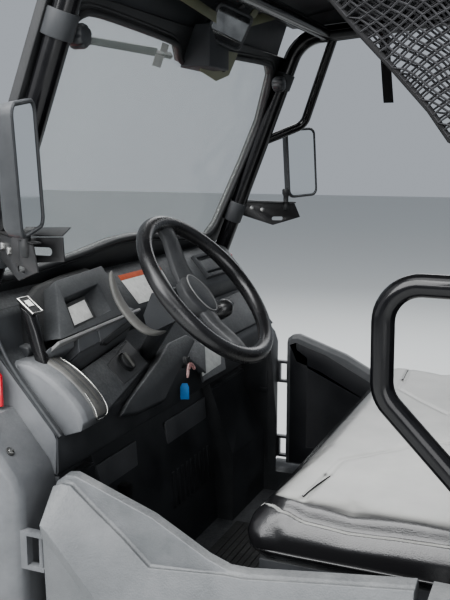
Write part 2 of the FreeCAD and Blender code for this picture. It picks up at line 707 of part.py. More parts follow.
def interior_mirror():
    glass = box(-14, 14, -95, 95, -38, 38)
    glass = glass.makeFillet(9, glass.Edges)
    glass.rotate(Vec(0, 0, 0), Y_AXIS, 12)
    glass.translate(Vec(440, -20, 1780))
    stem = rod(Vec(436, -20, 1790), Vec(380, -20, 1846), 7)
    made = fuse([glass, stem]).cut(cage_envelope())
    return max(made.Solids, key=lambda solid: solid.Volume)


# Dash, with its deck and blocks, the instrument pod and the column's opening
DASH_FOOT = (553.0, 930.0)
DASH_HEAD = (686.0, 1082.0)


def on_slope(y, up, out):
    """Point on the dash's sloping face: up along it, out towards the seat."""
    run_x, run_z = direction(DASH_FOOT, DASH_HEAD)
    return Vec(DASH_FOOT[0] + run_x * up - run_z * out, y, DASH_FOOT[1] + run_z * up + run_x * out)


def slope_block(outline, out):
    """Block raised from the slope over an outline of (y, up) points, a little wider at its foot."""
    middle_y = sum(y for y, _ in outline) / len(outline)
    middle_up = sum(up for _, up in outline) / len(outline)
    rings = []
    for level, grow in ((-2, 6), (out, 0)):
        points = []
        for y, up in outline:
            run = math.hypot(y - middle_y, up - middle_up)
            points.append(on_slope(y + (y - middle_y) / run * grow, up + (up - middle_up) / run * grow, level))
        rings.append(Part.makePolygon(points + points[:1]))
    return Part.makeLoft(rings, True, True)


# columns of each block: y, distance up the slope; then how far it stands out
DASH_BLOCKS = [([(482, 95), (228, 127), (213, 47), (486, -8)], 25),
               ([(440, -31), (195, 44), (80, 78), (-22, 66), (-2, 22), (240, -56)], 29),
               ([(-300, 140), (-575, 140), (-575, 20), (-300, 20)], 9),
               ([(-50, 78), (-105, 26), (-16, -40), (14, 20)], 14)]
DECK_LINE = [(150, 0), (172, 40), (184, 48), (288, 50)]
POD_FACE = [(535, 12), (222, 22), (212, 158), (420, 146)]
POD_BACK = [(539, 30), (205, 30), (200, 150), (430, 145)]
POD_RECESS = [(470, 26), (300, 40), (280, 112), (436, 98)]


def on_pod(y, up, out):
    """Point on the pod's face, which slopes at 50 degrees."""
    run_x, run_z = math.cos(math.radians(50)), math.sin(math.radians(50))
    return Vec(590 + run_x * up - run_z * out, y, 1095 + run_z * up + run_x * out)


def pod_ring(outline, out):
    points = [on_pod(y, up, out) for y, up in outline]
    return Part.makePolygon(points + points[:1])


def dash_panel():
    line = [(560, 847), (553, 930), (686, 1082), (700, 1160), (752, 1188)]
    skin = sheet_y(line[::-1], PANEL, -CAB_HALF, CAB_HALF)
    ends = []
    for side in (-1, 1):
        y = side * (CAB_HALF - PANEL)
        outline = line + [(762, 1000), (694, 847)]
        y0, y1 = sorted((y, y + side * PANEL))
        ends.append(prism_y(outline, y0, y1))
    deck_line = [on_slope(0, up, out) for up, out in DECK_LINE]
    deck = prism_y([(p.x, p.z) for p in deck_line] + [(742, 1192), (752, 1184), (700, 1090)], -600, 215)
    pod = Part.makeLoft([pod_ring(POD_BACK, -70), pod_ring(POD_BACK, -30), pod_ring(POD_FACE, 0)], True, True)
    recess = Part.makeLoft([pod_ring(POD_RECESS, -26), pod_ring(POD_RECESS, 5)], True, True)
    blocks = [slope_block(outline, out) for outline, out in DASH_BLOCKS]
    dash = fuse([skin, deck, pod.cut(recess)] + blocks + ends)
    beam = box(COWL_X - 20 - SEAT_GAP, COWL_X + 20, -700, 700, 940, 990)
    return dash.cut(rod(BOOT_START, BOOT_END, BOOT_RADIUS + MOVE_GAP)).cut(beam).cut(cage_envelope())


def gear_selector():
    housing = prism_y([(552, 925), (512, 948), (507, 972), (540, 1008), (590, 1044), (640, 1066),
                       (672, 1066), (553, 930)], 515, 600)
    lever = rod(Vec(629, 560, 1040), Vec(656, 560, 1150), 12)
    grip = box(640, 670, 546, 574, 1100, 1168)
    return fuse([housing, lever, grip])


# Toe board between the wheel wells, and the wells' rear walls
TOE_LINE = [(630, FLOOR_Z + FLOOR_THICK - 4), (650, 620), (700, 845)]
WELL_LINE = [(578, FLOOR_Z + FLOOR_THICK), (578, 560), (650, 700), (650, 760)]
WELL_Y = 345.0


def pedals():
    pieces = []
    toe = prism_y(TOE_LINE + [(760, 845), (760, 345)], -WELL_Y, WELL_Y)
    toe = fuse([toe, sheet_y(TOE_LINE, PANEL, -WELL_Y, WELL_Y)])
    # columns: y, half width, height of the pad's middle
    for y, half, z in ((210, 30, 480), (308, 24, 500)):
        pad = box(-6, 6, -half, half, -45, 45)
        pad.rotate(Vec(0, 0, 0), Y_AXIS, 25)
        pad.translate(Vec(585, y, z))
        arm = rod(Vec(588, y, z), Vec(640, y, 640), 7)
        bracket = box(628, 680, y - 14, y + 14, 600, 662)
        pieces.append(fuse([pad, arm, bracket]).cut(toe))
    return pieces


# Floor, toe board and rocker panels as one moulding
def floor_pan():
    top = FLOOR_Z + FLOOR_THICK
    floor = box(-438, 633, -WELL_Y, WELL_Y, FLOOR_Z, top)
    floor = floor.cut(box(-460, -325, -196, 196, 300, 400))
    pieces = [floor, sheet_y(TOE_LINE, PANEL, -WELL_Y, WELL_Y)]
    upper_toe = [(647, 756), (676, 756), (700, 845), (695, 845), (668, 765), (647, 765)]
    for side in (-1, 1):
        y0, y1 = sorted((side * WELL_Y, side * CAB_HALF))
        pieces.append(box(-438, 578, y0, y1, FLOOR_Z, top))
        pieces.append(sheet_y(WELL_LINE, PANEL, y0, y1))
        pieces.append(prism_y(upper_toe, y0, y1))
        y0, y1 = sorted((side * (WELL_Y - PANEL), side * WELL_Y))
        pieces.append(prism_y([(573, top), (630, top), (650, 620), (700, 845), (660, 800), (573, 560)],
                              y0, y1))
        y0, y1 = sorted((side * (CAB_HALF - 5), side * 745))
        pieces.append(box(-438, 568, y0, y1, FLOOR_Z, ROCKER_TOP_Z))
        y0, y1 = sorted((side * (CAB_HALF - PANEL), side * CAB_HALF))
        pieces.append(prism_y([(530, top), (578, top), (578, 560), (650, 700), (650, 760), (677, 760),
                               (700, 845), (552, 845), (530, 600)], y0, y1))
    return fuse(pieces)


def seat_base():
    top = FLOOR_Z + FLOOR_THICK
    half = SEAT_HALF - 5
    back_x, front_x = SEAT_REAR_X - 15, SEAT_FRONT_X - 40
    shell = box(back_x, front_x, -half, half, top, SEAT_BOTTOM_Z - SEAT_GAP)
    inside = box(back_x + 12, front_x - 12, 12 - half, half - 12, top, SEAT_BOTTOM_Z - 14)
    return shell.cut(inside)


def seat_cushion():
    pad = box(SEAT_REAR_X, SEAT_FRONT_X, -SEAT_HALF, SEAT_HALF, SEAT_BOTTOM_Z, SEAT_TOP_Z)
    top_edges = [edge for edge in pad.Edges if edge.BoundBox.ZMin > SEAT_TOP_Z - 1]
    return pad.makeFillet(38, top_edges)


def seat_back():
    front_x = SEAT_REAR_X - SEAT_GAP
    outline = [(front_x, 740), (front_x - 4, 848), (-410, 1300), (-436, 1285), (-420, 848), (-400, 740)]
    back = prism_y(outline, -SEAT_HALF, SEAT_HALF)
    return back.cut(cage_envelope())


def side_net():
    outline = [(150, 1848), (16, 1722), (-87, 1610), (-177, 1501), (-425, 1400), (-425, 1870)]
    net = prism_y([(150, 1870)] + outline[1:], 599, 605).cut(cage_envelope())
    return max(net.Solids, key=lambda solid: solid.Volume)


def door():
    """Left door: tapered top line, outer chamfer and a pocket on its inner face."""
    outline = [(DOOR_FRONT_X, DOOR_BOTTOM_Z), (DOOR_FRONT_X, 889), (480, 893), (371, 858),
               (197, 765), (149, 762), (DOOR_REAR_X, 800), (DOOR_REAR_X, DOOR_BOTTOM_Z)]
    slab = prism_y(outline, DOOR_INNER_Y, DOOR_OUTER_Y)
    pocket = box(90, 450, DOOR_INNER_Y - 5, DOOR_INNER_Y + 60, 560, 800)
    pocket_top = prism_y([(90, 700), (90, 800), (450, 800)], DOOR_INNER_Y - 6, DOOR_INNER_Y + 61)
    slab = slab.cut(pocket.cut(pocket_top))
    ridge_y = 706.0
    wedge = prism_x([(ridge_y, 960), (DOOR_OUTER_Y + 5, 960), (DOOR_OUTER_Y + 5, 760), (ridge_y, 895)],
                    -400, 600)
    slab = slab.cut(wedge)
    barrels = []
    for z in (470, 740):
        barrels.append(Part.makeCylinder(13, 46, Vec(DOOR_PIN_X, DOOR_PIN_Y, z - 23)))
        barrels.append(box(DOOR_FRONT_X - 15, DOOR_PIN_X, DOOR_PIN_Y - 12, DOOR_PIN_Y + 4, z - 23, z + 23))
    solid = fuse([slab] + barrels)
    hole = Part.makeCylinder(DOOR_PIN_RADIUS + PIN_PLAY, 500, Vec(DOOR_PIN_X, DOOR_PIN_Y, 400))
    return solid.cut(hole)


def hinge_posts():
    """Door hinge leaves and pins, fixed to the fender's rear wall."""
    made = []
    for z in (470, 740):
        pin = Part.makeCylinder(DOOR_PIN_RADIUS, 76, Vec(DOOR_PIN_X, DOOR_PIN_Y, z - 38))
        pieces = [pin]
        for low in (z - 38, z + 30):
            leaf = box(DOOR_PIN_X - 9, 561, DOOR_PIN_Y - 9, DOOR_PIN_Y + 9, low, low + 8)
            pieces.append(leaf)
        pieces.append(box(552, 572, DOOR_PIN_Y - 9, DOOR_PIN_Y + 9, z - 38, z + 38))
        made.append(fuse(pieces))
    return made


# Front bodywork
# columns: x, z of the fender's outline from its rear foot over the top to the nose
FENDER_LINE = [(561, 430), (561, 846), (572, 880), (655, 978), (775, 978), (860, 905), (1180, 890),
               (1340, 820), (1410, 700), (1410, 560), (1330, 560)]


def fender_block(outline, y0, y1, radius):
    """Prism with its outer edge rounded."""
    block = prism_y(outline, y0, y1)
    rim_edges = [edge for edge in block.Edges
                 if edge.BoundBox.YMin > y1 - 1 and edge.BoundBox.ZMax > 561 and edge.Length > 20]
    return block.makeFillet(radius, rim_edges)


def front_fenders():
    arch = rod(Vec(FRONT_AXLE_X, 300, HUB_Z + 20), Vec(FRONT_AXLE_X, 900, HUB_Z + 20), ARCH_RADIUS)
    solid = fender_block(FENDER_LINE + [(700, 430)], CAB_HALF, FENDER_OUTER_Y, 34)
    cover = prism_y([(832, 800), (832, 902), (860, 905), (1180, 890), (1340, 820), (1340, 700)],
                    FENDER_INNER_Y, CAB_HALF + 1)
    solid = fuse([solid, cover])
    inner = fender_block([(566, 420), (566, 845), (576, 877), (658, 973), (772, 973), (858, 900),
                          (1178, 885), (1336, 816), (1405, 699), (1405, 400)], CAB_HALF + 5,
                         FENDER_OUTER_Y - 5, 29)
    cover_inner = prism_y([(837, 600), (837, 897), (860, 900), (1178, 885), (1336, 816), (1336, 600)],
                          FENDER_INNER_Y + 5, CAB_HALF + 6)
    fender = solid.cut(inner).cut(cover_inner).cut(arch)
    fender = max(fender.Solids, key=lambda solid: solid.Volume)
    room = box(COWL_X - 28, COWL_X + 28, 200, 650, 930, 1000)
    left = fuse([fender.cut(room)] + hinge_posts())
    return both_sides(left)


def hood():
    def ring(x, half, low, high, crown):
        points = [Vec(x, -half, low), Vec(x, -half, high), Vec(x, -half * 0.7, high + crown),
                  Vec(x, half * 0.7, high + crown), Vec(x, half, high), Vec(x, half, low)]
        return Part.makePolygon(points + points[:1])

    # columns: x, half width, low z, high z, crown
    sections = [(768, 640, 910, 1100, 50), (1100, 560, 915, 1030, 50), (1330, 430, 860, 940, 40)]
    outer = Part.makeLoft([ring(*row) for row in sections], True, True)
    inner_rows = [(x, half - PANEL, low - 20, high - PANEL, crown) for x, half, low, high, crown in sections]
    inner_rows[0] = (760,) + inner_rows[0][1:]
    inner_rows[-1] = (1325,) + inner_rows[-1][1:]
    inner = Part.makeLoft([ring(*row) for row in inner_rows], True, True)
    pieces = [outer.cut(inner)]
    for side in (-1, 1):
        y0, y1 = sorted((side * (CAGE_Y + CAGE_TUBE + 1), side * (CAGE_Y + CAGE_TUBE + 7)))
        outline = [(662, 986), (850, 986), (850, 1060), (790, 1110), (744, 1172), (704, 1150), (690, 1080),
                   (662, 1048)]
        pieces.append(prism_y(outline, y0, y1))
        y0, y1 = sorted((side * (CAGE_Y - 4), side * (CAGE_Y + CAGE_TUBE + 7)))
        pieces.append(box(834, 850, y0, y1, 990, 1050))
    shell = fuse(pieces).cut(cage_envelope())
    return shell.cut(box(COWL_X - 103, COWL_X + 27, -700, 700, 900, 985 + SEAT_GAP))


def front_fascia():
    frame = box(1336, 1400, -395, 395, 560, 935)
    opening = box(1330, 1410, -270, 270, 600, 860)
    back = box(1330, 1388, -390, 390, 565, 930)
    slats = []
    for i in range(7):
        z = 625 + i * 34
        slats.append(box(1388, 1400, -272, 272, z, z + 12))
    lamp_rooms = []
    for side in (-1, 1):
        y0, y1 = sorted((side * 285, side * 385))
        lamp_rooms.append(box(1330, 1410, y0, y1, 780, 870))
    fascia = frame.cut(fuse([opening, back] + lamp_rooms))
    return fuse([fascia] + slats)


def headlamps():
    gap = SEAT_GAP
    lamp = box(1350, 1404, 285 + gap, 385 - gap, 780 + gap, 870 - gap)
    front_edges = [edge for edge in lamp.Edges if edge.BoundBox.XMin > 1403]
    return both_sides(lamp.makeFillet(12, front_edges))


def front_bumper():
    radius = 19
    x = NOSE_X - radius
    pieces = []
    for side in (-1, 1):
        y = side * 230
        points = [Vec(FRAME_FRONT_X, y, 300), Vec(x, y, 300), Vec(x, y, 700)]
        pieces.append(bent_tube(points, radius, 60))
        pieces.append(rod(Vec(1295 + SEAT_GAP, y, 682), Vec(x, y, 682), 11 - SEAT_GAP))
    for z in (380, 520, 690):
        pieces.append(rod(Vec(x, -330 if z > 500 else -230, z), Vec(x, 330 if z > 500 else 230, z), radius))
    return fuse(pieces)


# Cargo bed with its fender flares and pivot ears
def cargo_bed():
    inner_y = BED_HALF - BED_WALL
    tub = box(BED_WALL_REAR_X, BED_FRONT_X, -BED_HALF, BED_HALF, BED_FLOOR_Z, BED_TOP_Z)
    load = box(BED_WALL_REAR_X - 5, BED_FRONT_X - BED_WALL, -inner_y, inner_y,
               BED_FLOOR_Z + BED_FLOOR_THICK, BED_TOP_Z + 5)
    mouth = box(BED_WALL_REAR_X - 5, BED_REAR_X, -inner_y, inner_y, BED_FLOOR_Z - 5, BED_TOP_Z + 5)
    pieces = [tub.cut(load).cut(mouth)]
    for side in (-1, 1):
        y0, y1 = sorted((side * (BED_HALF - 5), side * BED_FLARE_Y))
        front_x = BED_FRONT_X - 28
        flare = prism_y([(FLARE_REAR_X, 780), (FLARE_REAR_X, 930), (FLARE_REAR_X + 70, 975), (front_x - 60, 975),
                         (front_x, 930), (front_x, 780)], y0, y1)
        arch = rod(Vec(REAR_AXLE_X, side * 600, HUB_Z + 90), Vec(REAR_AXLE_X, side * 800, HUB_Z + 90), 395)
        pieces.append(flare.cut(arch))
        inner = RAIL_Y - TOWER_TUBE / 2 - MOVE_GAP
        y0, y1 = sorted((side * (inner - 16), side * inner))
        ear = box(BED_PIN_X - 22, BED_PIN_X + 22, y0, y1, BED_PIN_Z, BED_FLOOR_Z + 4)
        disc = rod(Vec(BED_PIN_X, y0, BED_PIN_Z), Vec(BED_PIN_X, y1, BED_PIN_Z), 22)
        pieces += [ear, disc]
    # Ribs along the floor
    for i in range(9):
        y = -560 + i * 140
        pieces.append(box(BED_REAR_X + 20, BED_FRONT_X - BED_WALL, y - 20, y + 20, BED_FLOOR_Z + 10,
                          BED_FLOOR_Z + BED_FLOOR_THICK + 6))
    bed = fuse(pieces)
    holes = []
    for side in (-1, 1):
        holes.append(rod(Vec(BED_PIN_X, side * 150, BED_PIN_Z), Vec(BED_PIN_X, side * 225, BED_PIN_Z),
                         BED_PIN_RADIUS + PIN_PLAY))
        for x in (-1300, -640):
            holes.append(rod(Vec(x, side * (BED_HALF - 40), BED_TOP_Z - 30),
                             Vec(x, side * (BED_HALF + 10), BED_TOP_Z - 30), 12))
    pins = []
    for side in (-1, 1):
        start = Vec(GATE_PIN_X, side * (inner_y - 30), GATE_PIN_Z)
        pins.append(rod(start, Vec(GATE_PIN_X, side * (inner_y + 5), GATE_PIN_Z), GATE_PIN_RADIUS))
    return fuse([bed.cut(fuse(holes))] + pins)


def bed_pads():
    return both_sides(box(-560, -535, RAIL_Y - 15, RAIL_Y + 15, DECK_Z + TOWER_TUBE, BED_FLOOR_Z - SEAT_GAP))


def tailgate():
    half = BED_HALF - BED_WALL - MOVE_GAP
    x0 = GATE_PIN_X - 15
    plate = box(x0, x0 + TAILGATE_THICK, -half, half, GATE_PIN_Z - 8, BED_TOP_Z - 4)
    pieces = [plate]
    for y in (-450, -150, 150, 450):
        pieces.append(box(TAIL_X, x0 + 2, y - 90, y + 90, 900, 1080))
    holes = []
    for side in (-1, 1):
        start = Vec(GATE_PIN_X, side * (half - 28), GATE_PIN_Z)
        holes.append(rod(start, Vec(GATE_PIN_X, side * (half + 5), GATE_PIN_Z), GATE_PIN_RADIUS + PIN_PLAY))
    return fuse(pieces).cut(fuse(holes))


def tail_lamps():
    lamp = box(FLARE_REAR_X - 14, FLARE_REAR_X, BED_HALF + 6, BED_FLARE_Y - 4, 800, 920)
    return both_sides(lamp)


def rear_quarters():
    outline = [(-192, ROCKER_TOP_Z), (-192, 800), (-440, 800), (-505, 720), (-505, 600), (-438, ROCKER_TOP_Z)]
    panel = prism_y(outline, 668, 745)
    inner = prism_y([(-197, 400), (-197, 795), (-436, 795), (-500, 716), (-500, 600), (-433, 400)], 660, 740)
    return both_sides(panel.cut(inner))


def main():
    os.makedirs("parts", exist_ok=True)
    save("chassis_frame", chassis_frame())
    save("upper_frame", upper_frame())
    save("skid_plate", skid_plate())
    save("engine_block", engine_block())
    save("differentials", differentials())
    save("half_shafts", half_shafts())
    save("front_control_arms", front_control_arms())
    save("rear_control_arms", rear_control_arms())
    save("shocks", shocks())
    save("knuckle_left", knuckle())
    save("knuckle_right", mirrored(knuckle()))
    save("rear_hub_carriers", rear_hub_carriers())
    for name, x, y, width in wheel_places():
        wheel, rubber = rim(width), tyre(width)
        if y < 0:
            wheel, rubber = mirrored(wheel), mirrored(rubber)
        save("rim_" + name, moved(wheel, x, y, HUB_Z))
        save("tyre_" + name, moved(rubber, x, y, HUB_Z))
    save("tie_rods", tie_rods())
    save("steering_column", steering_column())
    save("steering_wheel", steering_wheel())
    save("roll_cage", roll_cage())
    save("hip_bars", hip_bars())
    save("roof_panel", roof_panel())
    save("windshield_frame", windshield_frame())
    save("windshield", windshield())
    save("wiper_motor", wiper())
    save("side_mirrors", side_mirrors())
    save("interior_mirror", interior_mirror())
    save("dash_panel", dash_panel())
    save("gear_selector", gear_selector())
    save("pedals", pedals())
    save("floor_pan", floor_pan())
    save("seat_base", seat_base())
    save("seat_cushion", seat_cushion())
    save("seat_back", seat_back())
    save("side_net", side_net())
    save("door_left", door())
    save("door_right", mirrored(door()))
    save("front_fenders", front_fenders())
    save("hood", hood())
    save("front_fascia", front_fascia())
    save("headlamps", headlamps())
    save("front_bumper", front_bumper())
    save("cargo_bed", cargo_bed())
    save("bed_pads", bed_pads())
    save("tailgate", tailgate())
    save("tail_lamps", tail_lamps())
    save("rear_quarters", rear_quarters())


main()
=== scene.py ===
import json
import math

import bpy
from mathutils import Matrix, Vector


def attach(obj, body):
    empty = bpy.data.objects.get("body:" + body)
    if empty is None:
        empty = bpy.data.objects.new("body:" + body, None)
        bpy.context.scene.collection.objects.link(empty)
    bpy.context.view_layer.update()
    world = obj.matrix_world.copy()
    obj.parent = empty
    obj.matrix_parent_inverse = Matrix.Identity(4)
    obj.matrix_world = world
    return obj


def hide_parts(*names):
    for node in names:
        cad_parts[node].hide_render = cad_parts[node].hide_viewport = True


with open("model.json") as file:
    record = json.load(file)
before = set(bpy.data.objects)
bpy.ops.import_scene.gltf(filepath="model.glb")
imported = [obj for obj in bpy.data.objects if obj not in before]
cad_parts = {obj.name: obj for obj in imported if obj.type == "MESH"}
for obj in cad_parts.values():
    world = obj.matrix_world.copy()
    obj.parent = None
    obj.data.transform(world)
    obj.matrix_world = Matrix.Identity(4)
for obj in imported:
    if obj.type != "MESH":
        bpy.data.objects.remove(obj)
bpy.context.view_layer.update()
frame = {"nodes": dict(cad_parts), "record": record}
nodeBody = {node: body for body, nodes in frame["record"]["behaviour"]["bodies"].items() for node in nodes}
print("frame loaded")


# Shader sockets that take part in Python sums

class Wire:
    def __init__(self, paint, socket):
        self.paint = paint
        self.socket = socket

    def sum(self, operation, first, second):
        return self.paint.add("ShaderNodeMath", {"operation": operation}, {0: first, 1: second})

    def __add__(self, other):
        return self.sum("ADD", self, other)

    def __sub__(self, other):
        return self.sum("SUBTRACT", self, other)

    def __rsub__(self, other):
        return self.sum("SUBTRACT", other, self)

    def __mul__(self, other):
        return self.sum("MULTIPLY", self, other)

    __radd__ = __add__
    __rmul__ = __mul__


class Paint:
    def __init__(self, name):
        self.material = bpy.data.materials.new(name)
        self.material.use_nodes = True
        self.tree = self.material.node_tree
        self.shader = self.tree.nodes["Principled BSDF"]

    def add(self, kind, settings=None, sockets=None, out=0):
        node = self.tree.nodes.new(kind)
        for name, value in (settings or {}).items():
            if name == "stops":
                for spare in range(len(value) - 2):
                    node.color_ramp.elements.new(0.5)
                for element, (place, shade) in zip(node.color_ramp.elements, value):
                    element.position = place
                    element.color = (shade, shade, shade, 1)
            else:
                setattr(node, name, value)
        for name, value in (sockets or {}).items():
            self.plug(node.inputs[name], value)
        return Wire(self, node.outputs[out])

    def plug(self, socket, value):
        if isinstance(value, Wire):
            self.tree.links.new(value.socket, socket)
        elif socket.type == "RGBA" and len(value) == 3:
            socket.default_value = (*value, 1)
        else:
            socket.default_value = value

    def set(self, **values):
        for name, value in values.items():
            self.plug(self.shader.inputs[name.replace("_", " ")], value)
        return self

    def place(self, stretch=(1, 1, 1)):
        spot = self.add("ShaderNodeTexCoord", out="Object")
        return self.add("ShaderNodeMapping", {}, {"Vector": spot, "Scale": stretch})

    def cloud(self, scale, detail=3, roughness=0.5, stretch=(1, 1, 1)):
        return self.add("ShaderNodeTexNoise", {}, {"Vector": self.place(stretch), "Scale": scale,
                                                   "Detail": detail, "Roughness": roughness})

    def pebbles(self, scale):
        return self.add("ShaderNodeTexVoronoi", {}, {"Vector": self.place(), "Scale": scale})

    def ramp(self, value, low, high):
        return self.add("ShaderNodeMapRange", {}, {"Value": value, "From Min": low, "From Max": high})

    def blend(self, share, first, second):
        sockets = {0: share, 6: first, 7: second}
        return self.add("ShaderNodeMix", {"data_type": "RGBA"}, sockets, out=2)

    def facingUp(self, low=0.35, high=0.95):
        normal = self.add("ShaderNodeNewGeometry", out="Normal")
        return self.ramp(self.add("ShaderNodeSeparateXYZ", {}, {0: normal}, out=2), low, high)

    def bump(self, height, strength, distance=0.0006):
        return self.add("ShaderNodeBump", {}, {"Strength": strength, "Distance": distance,
                                               "Height": height})


def mouldedPlastic(name, dark, light, dustAndPaintedLightTone, dustAndPaintedLightShare=0.5, rough=(0.5, 0.72), grain=(900, 0.25)):
    paint = Paint(name)
    patch = paint.ramp(paint.cloud(7, 6, 0.65), 0.35, 0.7)
    fine = paint.ramp(paint.cloud(160, 4, 0.7), 0.4, 0.75)
    body = paint.blend(patch, dark, light)
    # faces turned up are mixed towards the pale tone: settled dust, and also painted light on faces turned
    # to the sky
    dustAndPaintedLightMask = paint.facingUp() * (patch * 0.6 + fine * 0.4) * dustAndPaintedLightShare
    paint.set(Base_Color=paint.blend(dustAndPaintedLightMask, body, dustAndPaintedLightTone))
    paint.set(Roughness=patch * (rough[1] - rough[0]) + rough[0])
    paint.set(Normal=paint.bump(paint.pebbles(grain[0]), grain[1]))
    return paint.material


def glossPaint(name, dark, light, rough, coat=0.5, dustAndPaintedLightShare=0.25, shine=0.5):
    paint = Paint(name)
    patch = paint.ramp(paint.cloud(9, 5, 0.6), 0.3, 0.75)
    marks = paint.ramp(paint.cloud(60, 6, 0.8, (1, 1, 0.08)), 0.62, 0.72)
    body = paint.blend(patch, dark, light)
    # faces turned up are mixed towards pale grey: dust, and also painted light on faces turned to the sky
    paint.set(Base_Color=paint.blend(paint.facingUp() * patch * dustAndPaintedLightShare, body, (0.2, 0.2, 0.19)))
    paint.set(Roughness=marks * 0.2 + patch * 0.08 + rough)
    paint.set(Coat_Weight=coat, Coat_Roughness=0.12, Specular_IOR_Level=shine)
    paint.set(Normal=paint.bump(paint.cloud(420, 2), 0.06))
    return paint.material


def bareMetal(name, dark, light, rough, metallic=1.0):
    paint = Paint(name)
    patch = paint.ramp(paint.cloud(40, 6, 0.7), 0.3, 0.75)
    paint.set(Base_Color=paint.blend(patch, dark, light), Metallic=metallic)
    paint.set(Roughness=patch * 0.25 + rough)
    paint.set(Normal=paint.bump(paint.cloud(600, 3), 0.12))
    return paint.material


def seatVinyl():
    paint = Paint("seat vinyl")
    patch = paint.ramp(paint.cloud(5, 6, 0.6), 0.3, 0.75)
    grain = paint.pebbles(420)
    creases = paint.cloud(14, 5, 0.55, (1, 0.35, 1))
    # the flat top of the seat is painted pale grey: a painted reflection of the sky, with some dust
    dustAndPaintedLightMask = paint.facingUp(0.8, 0.97) * (patch * 0.3 + 0.6)
    paint.set(Base_Color=paint.blend(dustAndPaintedLightMask, (0.012, 0.012, 0.013), (0.5, 0.5, 0.48)))
    paint.set(Roughness=paint.facingUp(0.8, 0.99) * 0.16 + patch * 0.08 + 0.2)
    paint.set(Normal=paint.bump(grain * 0.25 + creases, 0.22, 0.003))
    paint.set(Coat_Weight=0.25, Coat_Roughness=0.3)
    return paint.material


def tyreRubber():
    paint = Paint("tyre rubber")
    patch = paint.ramp(paint.cloud(10, 6, 0.7), 0.35, 0.7)
    mud = paint.ramp(paint.cloud(28, 6, 0.75), 0.5, 0.7)
    body = paint.blend(patch, (0.014, 0.014, 0.014), (0.045, 0.044, 0.042))
    paint.set(Base_Color=paint.blend(mud * 0.4, body, (0.16, 0.135, 0.1)))
    paint.set(Roughness=patch * 0.2 + 0.68)
    paint.set(Normal=paint.bump(paint.cloud(320, 4, 0.7), 0.3))
    return paint.material


def clearGlass():
    paint = Paint("windshield glass")
    smear = paint.ramp(paint.cloud(5, 6, 0.7), 0.35, 0.8)
    paint.set(Base_Color=(0.75, 0.82, 0.78), Roughness=smear * 0.05 + 0.02, Alpha=smear * 0.05 + 0.09)
    return paint.material


def mirrorGlass():
    paint = Paint("mirror glass")
    smear = paint.ramp(paint.cloud(30, 5, 0.7), 0.4, 0.8)
    paint.set(Base_Color=(0.86, 0.88, 0.88), Metallic=1.0, Roughness=smear * 0.06 + 0.02)
    return paint.material


def lampPlastic(name, colour):
    paint = Paint(name)
    ribs = paint.cloud(300, 1, 0.4, (0.02, 1, 0.02))
    patch = paint.ramp(paint.cloud(20, 4), 0.3, 0.8)
    shade = [part * 0.8 for part in colour]
    paint.set(Base_Color=paint.blend(patch, colour, shade), Roughness=patch * 0.1 + 0.08, Coat_Weight=1.0)
    paint.set(Normal=paint.bump(ribs, 0.25, 0.002))
    return paint.material


def cloth(name, dark, light, scale):
    paint = Paint(name)
    weave = paint.cloud(scale, 2, 0.5, (1, 0.2, 1)) * paint.cloud(scale, 2, 0.5, (0.2, 1, 1))
    patch = paint.ramp(paint.cloud(25, 5, 0.6), 0.3, 0.75)
    paint.set(Base_Color=paint.blend(patch, dark, light), Roughness=patch * 0.15 + 0.8)
    paint.set(Normal=paint.bump(weave, 0.5, 0.001))
    return paint.material


def labelPaper(name, colour, faded):
    paint = Paint(name)
    patch = paint.ramp(paint.cloud(45, 6, 0.75), 0.35, 0.75)
    paint.set(Base_Color=paint.blend(patch, colour, faded), Roughness=patch * 0.2 + 0.45)
    paint.set(Normal=paint.bump(paint.cloud(120, 4), 0.15))
    return paint.material


